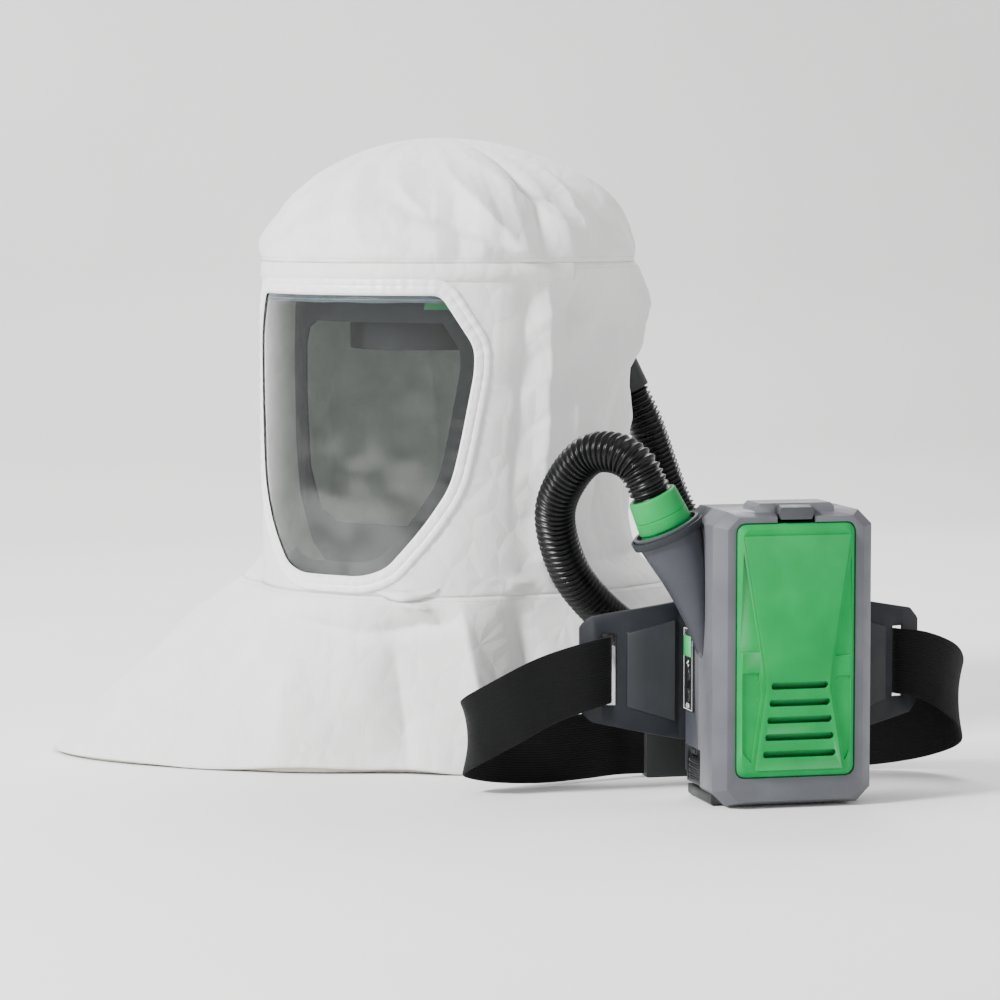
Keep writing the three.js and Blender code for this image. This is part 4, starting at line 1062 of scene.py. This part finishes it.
def prism_between(name, outline, y0, y1, slot, inset=0.0):
    """A flat shape in the x-z plane given a thickness, its front edge drawn in by inset."""
    outline = np.asarray(outline, float)
    centre = outline.mean(axis=0)
    reach = np.linalg.norm(outline - centre, axis=1)[:, None]
    front = outline - (outline - centre) / reach * inset
    rings = [[(x, y1, z) for x, z in outline], [(x, y0, z) for x, z in front]]
    return lofted(name, at_blower(rings), slot)


def carved(piece, tools):
    """Cuts the tool shapes out of the piece and removes the tools."""
    for tool in tools:
        cut = piece.modifiers.new("carve", "BOOLEAN")
        cut.operation = "DIFFERENCE"
        cut.solver = "EXACT"
        cut.object = tool
        baked(piece)
        bpy.data.objects.remove(tool)
    return piece


COVER_FACE = -45.5  # mm, in the blower's own frame
CASE_SIDE = -63.35


def make_cover():
    """The green filter cover: facets sunk each side of the raised middle, and five louvres."""
    cover = node_copy("faceted_cover", "filter_cover", "cover_green")
    cleaned(cover, CAD_MERGE)
    sunk = [
        [(-44.5, 120), (-29, 120), (-42.5, 196)], [(-43, 44), (-35.5, 36), (-28, 88), (-30, 104), (-43, 104)],
        [(44.5, 116), (31, 116), (43.5, 192)], [(43, 44), (38.5, 36), (30, 88), (31, 100), (43, 100)],
    ]
    depths = (COVER_FACE - 1, COVER_FACE + 1.3)
    carved(cover, [prism_between("sunk_facet", shape, *depths, "cover_green", -0.8) for shape in sunk])
    worked(cover, flats_whole)
    bevelled(cover, 0.45 * MM, 3)
    placed(cover, "cover", "filter_cover")


def make_slats():
    """The sloping green slats behind the cover's louvres, one shape copied down the slots."""
    slope = [(-44.6, 3.1), (-43.6, 3.4), (-38.2, -2.6), (-39.2, -3.1)]
    ends = np.array([[(x, y, z) for y, z in slope] for x in (-31, 34)])
    shape = lofted("slat_shape", ends * MM, "cover_green")
    points = at_blower([(0, 0, 42 + 13 * i) for i in range(5)])
    slats = copied("louvre_slats", shape, points, "cover_green")
    placed(bevelled(slats, 0.25 * MM), "cover")


def blower_ring(spine, shrink):
    """One ring of the outlet funnel, kept off the case's side wall."""
    x, y, z, half_w, half_d, tilt = spine
    a = math.radians(tilt)
    ring = []
    for t in full_turn(56):
        across = (half_w - shrink) * math.cos(t)
        beside = min(x + across * math.cos(a), CASE_SIDE)
        ring.append((beside, y + (half_d - shrink) * math.sin(t), z + across * math.sin(a)))
    return ring


def make_outlet():
    """The tapering outlet funnel, its rim, and the green cuff that the hose is pressed into."""
    keys = np.array([(-62, -4, 114, 4, 5, 0), (-64, -2, 137, 10, 11, 6), (-70, 5, 170, 19, 20, 15),
                     (-80, 9, 197, 25, 25, 22), (-87, 11, 212, 27, 27, 25)], float)
    spine = catmull(keys, 8)
    outer = [blower_ring(s, 0) for s in spine]
    inner = [blower_ring(s, 2.6) for s in spine[4:]]
    funnel = tube_wall("tapered_outlet", at_blower(outer), at_blower(inner), "case_mid_grey")
    placed(sharpened(funnel, 40), "root", "outlet_funnel")
    refined("outlet_trim", 0.6)
    refined("outlet_seal", 0.2)
    way = np.array([-math.sin(math.radians(25)), 0, math.cos(math.radians(25))])
    side = np.array([math.cos(math.radians(25)), 0, math.sin(math.radians(25))])
    mouth = np.array([-87, 11, 212.0])
    profile = [
        (-9, 20.0), (0.2, 20.0), (0.8, 20.8), (1.6, 21.2), (9.6, 20.6), (10.0, 20.2), (10.6, 20.2),
        (11.0, 20.5), (25.4, 19.2), (26.6, 18.6), (27.0, 17.8), (27.0, 16.2), (27.0, 15.9), (-9.0, 15.9),
    ]
    round_it = [side * math.cos(t) + np.array([0, 1, 0]) * math.sin(t)
                for t in full_turn(72)]
    rings = [[mouth + way * along + spoke * radius for spoke in round_it] for along, radius in profile]
    rings = np.array(rings + [rings[0]])
    cuff = cleaned(new_object("green_cuff", at_blower(rings).reshape(-1, 3),
                              grid_faces(len(rings), 72, closed=True), "cover_green"))
    placed(sharpened(cuff, 40), "cuff_at_blower", "blower_cuff")


def icon(name, outlines, centre_z):
    """Small printed shapes on the status panel, given sideways and upward from their middle (mm)."""
    parts = []
    for outline in outlines:
        parts.append([(-65.12, 24 + s, centre_z + z) for s, z in outline])
    verts, faces = [], []
    for ring in parts:
        start = len(verts)
        count = len(ring)
        verts += ring + [(-64.9, y, z) for _, y, z in ring]
        faces += [tuple(range(start, start + count)), tuple(range(start + count, start + 2 * count))[::-1]]
        faces += [(start + i, start + count + i, start + count + (i + 1) % count, start + (i + 1) % count)
                  for i in range(count)]
    return placed(cleaned(new_object(name, at_blower(verts), faces, "icon_white", smooth=False)), "root")


def bar(x0, z0, x1, z1):
    """The outline of a small rectangle."""
    return [(x0, z0), (x1, z0), (x1, z1), (x0, z1)]


def frame_outline(w, h, line):
    """The four bars of a small rectangle drawn with a thin line."""
    corners = [(-w, -h, w, -h + line), (-w, h - line, w, h), (-w, -h, -w + line, h), (w - line, -h, w, h)]
    return [bar(*corner) for corner in corners]


def make_status():
    """The gloss status panel with its green light, buttons and plain symbols."""
    refined("status_panel", 0.4)
    refined("status_window", 0.4, slot="status_green")
    for node in ("power_button", "airflow_button"):
        refined(node, 0.3)
    blades = []
    for k in range(3):
        a = math.radians(120 * k)
        turn = [(0.5, 0.3), (2.2, 1.1), (2.9, 0.2), (2.4, -0.7), (0.9, -0.4)]
        c, s = math.cos(a), math.sin(a)
        blades.append([(x * c - z * s, x * s + z * c) for x, z in turn])
    icon("fan_symbol", blades, 104.6)
    icon("panel_border", frame_outline(11, 31.4, 0.45), 100)
    charge = [bar(3.4, -0.7, 4.1, 0.7), bar(-2.6, -0.9, -1.4, 0.9), bar(-0.8, -0.9, 0.4, 0.9)]
    icon("charge_symbol", frame_outline(3.4, 1.7, 0.4) + charge, 71.8)


def make_screws():
    """Recessed cross-drive screws in the rear shell, one shape copied to each place."""
    profile = ((-4.4, 1.4), (-2.0, 1.5), (-2.0, 2.6), (-0.9, 3.0), (-0.55, 2.7), (-0.45, 1.2), (-1.6, 0.5))
    turns = full_turn(18)
    rings = [[(r * math.cos(t), 42.5 + along, r * math.sin(t)) for t in turns] for along, r in profile]
    shape = lofted("screw_shape", np.array(rings) * MM, "bright_steel")
    points = at_blower([(x, 0, z) for x, z in ((-50, 212), (50, 212), (-50, 24), (50, 24))])
    screws = copied("case_screws", shape, points, "bright_steel")
    placed(sharpened(screws, 35), "root", *(f"case_screw_{i}" for i in (1, 2, 3, 4)))


def webbing_section():
    """Half across from -1 to 1 and depth, round a strap with lengthwise ribs."""
    ribs = 26
    across = np.linspace(-1, 1, ribs * 4 + 1)
    depth = (0.78 + 0.22 * np.cos(across * ribs * math.pi)) * WEB_T / 2
    depth[0] = depth[-1] = 0.4 * WEB_T / 2
    return [*zip(across, depth), *zip(across[::-1], -depth[::-1])]


def make_belt():
    """The webbing on each side, the belt plate, the buckle and the strap adjuster."""
    for side, route in (("left", LEFT_WEB), ("right", RIGHT_WEB)):
        path = catmull(np.array(route, float) * MM + SHIFT, 14)
        tangent = np.gradient(path, axis=0)
        tangent /= np.linalg.norm(tangent, axis=1)[:, None]
        out = np.cross(tangent, (0, 0, 1.0))
        out /= np.linalg.norm(out, axis=1)[:, None]
        rise = np.cross(out, tangent)
        rings = [[p + r * w * WEB_W / 2 + o * d for w, d in webbing_section()]
                 for p, r, o in zip(path, rise, out)]
        web = lofted(f"{side}_webbing", rings, "belt_webbing")
        placed(sharpened(web, 60), "root", f"webbing_{side}")
    refined("belt_plate", 0.7)
    for node in ("buckle_socket", "buckle_plug", "buckle_prong_upper", "buckle_prong_lower", "belt_slider"):
        refined(node, 0.45)


def make_case():
    """The shells, the latch with its lip, the battery and the working parts inside."""
    for node in ("front_shell", "rear_shell", "base_foot"):
        refined(node, 0.8)
    latch = refined("cover_latch", 0.5)
    low = min(v.co.z for v in latch.data.vertices)
    for v in latch.data.vertices:
        if v.co.z < low + 1.5 * MM:
            v.co.z -= 2.2 * MM
    refined("battery_pack", 0.5)
    refined("battery_latch", 0.3)
    for node in ("prefilter", "particle_filter", "filter_seal", "scroll_housing", "impeller", "motor_shaft",
                 "motor", "circuit_board", "hood_inlet", "hood_cuff"):
        refined(node, 0.25)


# ---- stage ------------------------------------------------------------------
# Each light: name, place in metres, size in metres, power in watts.
LIGHTS = [
    ("key", (-2.4, -1.0, 1.9), 0.7, 170),
    ("fill", (2.4, -2.0, 1.3), 1.8, 14),
    ("back", (0.6, 1.7, 2.2), 1.6, 60),
]


def make_stage():
    """A plain pale floor that rises into a backdrop, and soft studio light."""
    profile = [(-4.0, 0.0), (2.2, 0.0), (2.7, 0.08), (3.0, 0.35), (3.1, 0.9), (3.1, 4.5)]
    verts = [(x, y, z - 0.0004) for x in (-6.0, 6.0) for y, z in profile]
    count = len(profile)
    faces = [(i, i + 1, count + i + 1, count + i) for i in range(count - 1)]
    floor = new_object("floor", verts, faces, "floor")
    for name, place, size, power in LIGHTS:
        light = bpy.data.lights.new(name, "AREA")
        light.shape = "DISK"
        light.size = size
        light.energy = power
        lamp = bpy.data.objects.new(name, light)
        lamp.location = place
        lamp.rotation_euler = (Vector((0, 0, 0.22)) - Vector(place)).to_track_quat("-Z", "Y").to_euler()
        bpy.context.scene.collection.objects.link(lamp)
    world = bpy.data.worlds.new("studio")
    world.use_nodes = True
    world.node_tree.nodes.clear()
    sky = add(world.node_tree, "ShaderNodeBackground", {"Color": (1.0, 1.0, 1.0, 1.0), "Strength": 0.8})
    add(world.node_tree, "ShaderNodeOutputWorld", {"Surface": sky.outputs[0]})
    bpy.context.scene.world = world


def main():
    set_camera()
    hose_path = make_hose()
    make_hood(hose_path)
    make_seams()
    make_lens()
    make_binding()
    make_gasket()
    make_brow_tape()
    make_neck_pieces()
    make_harness()
    make_case()
    make_cover()
    make_slats()
    make_outlet()
    make_status()
    make_screws()
    make_belt()
    make_stage()


main()
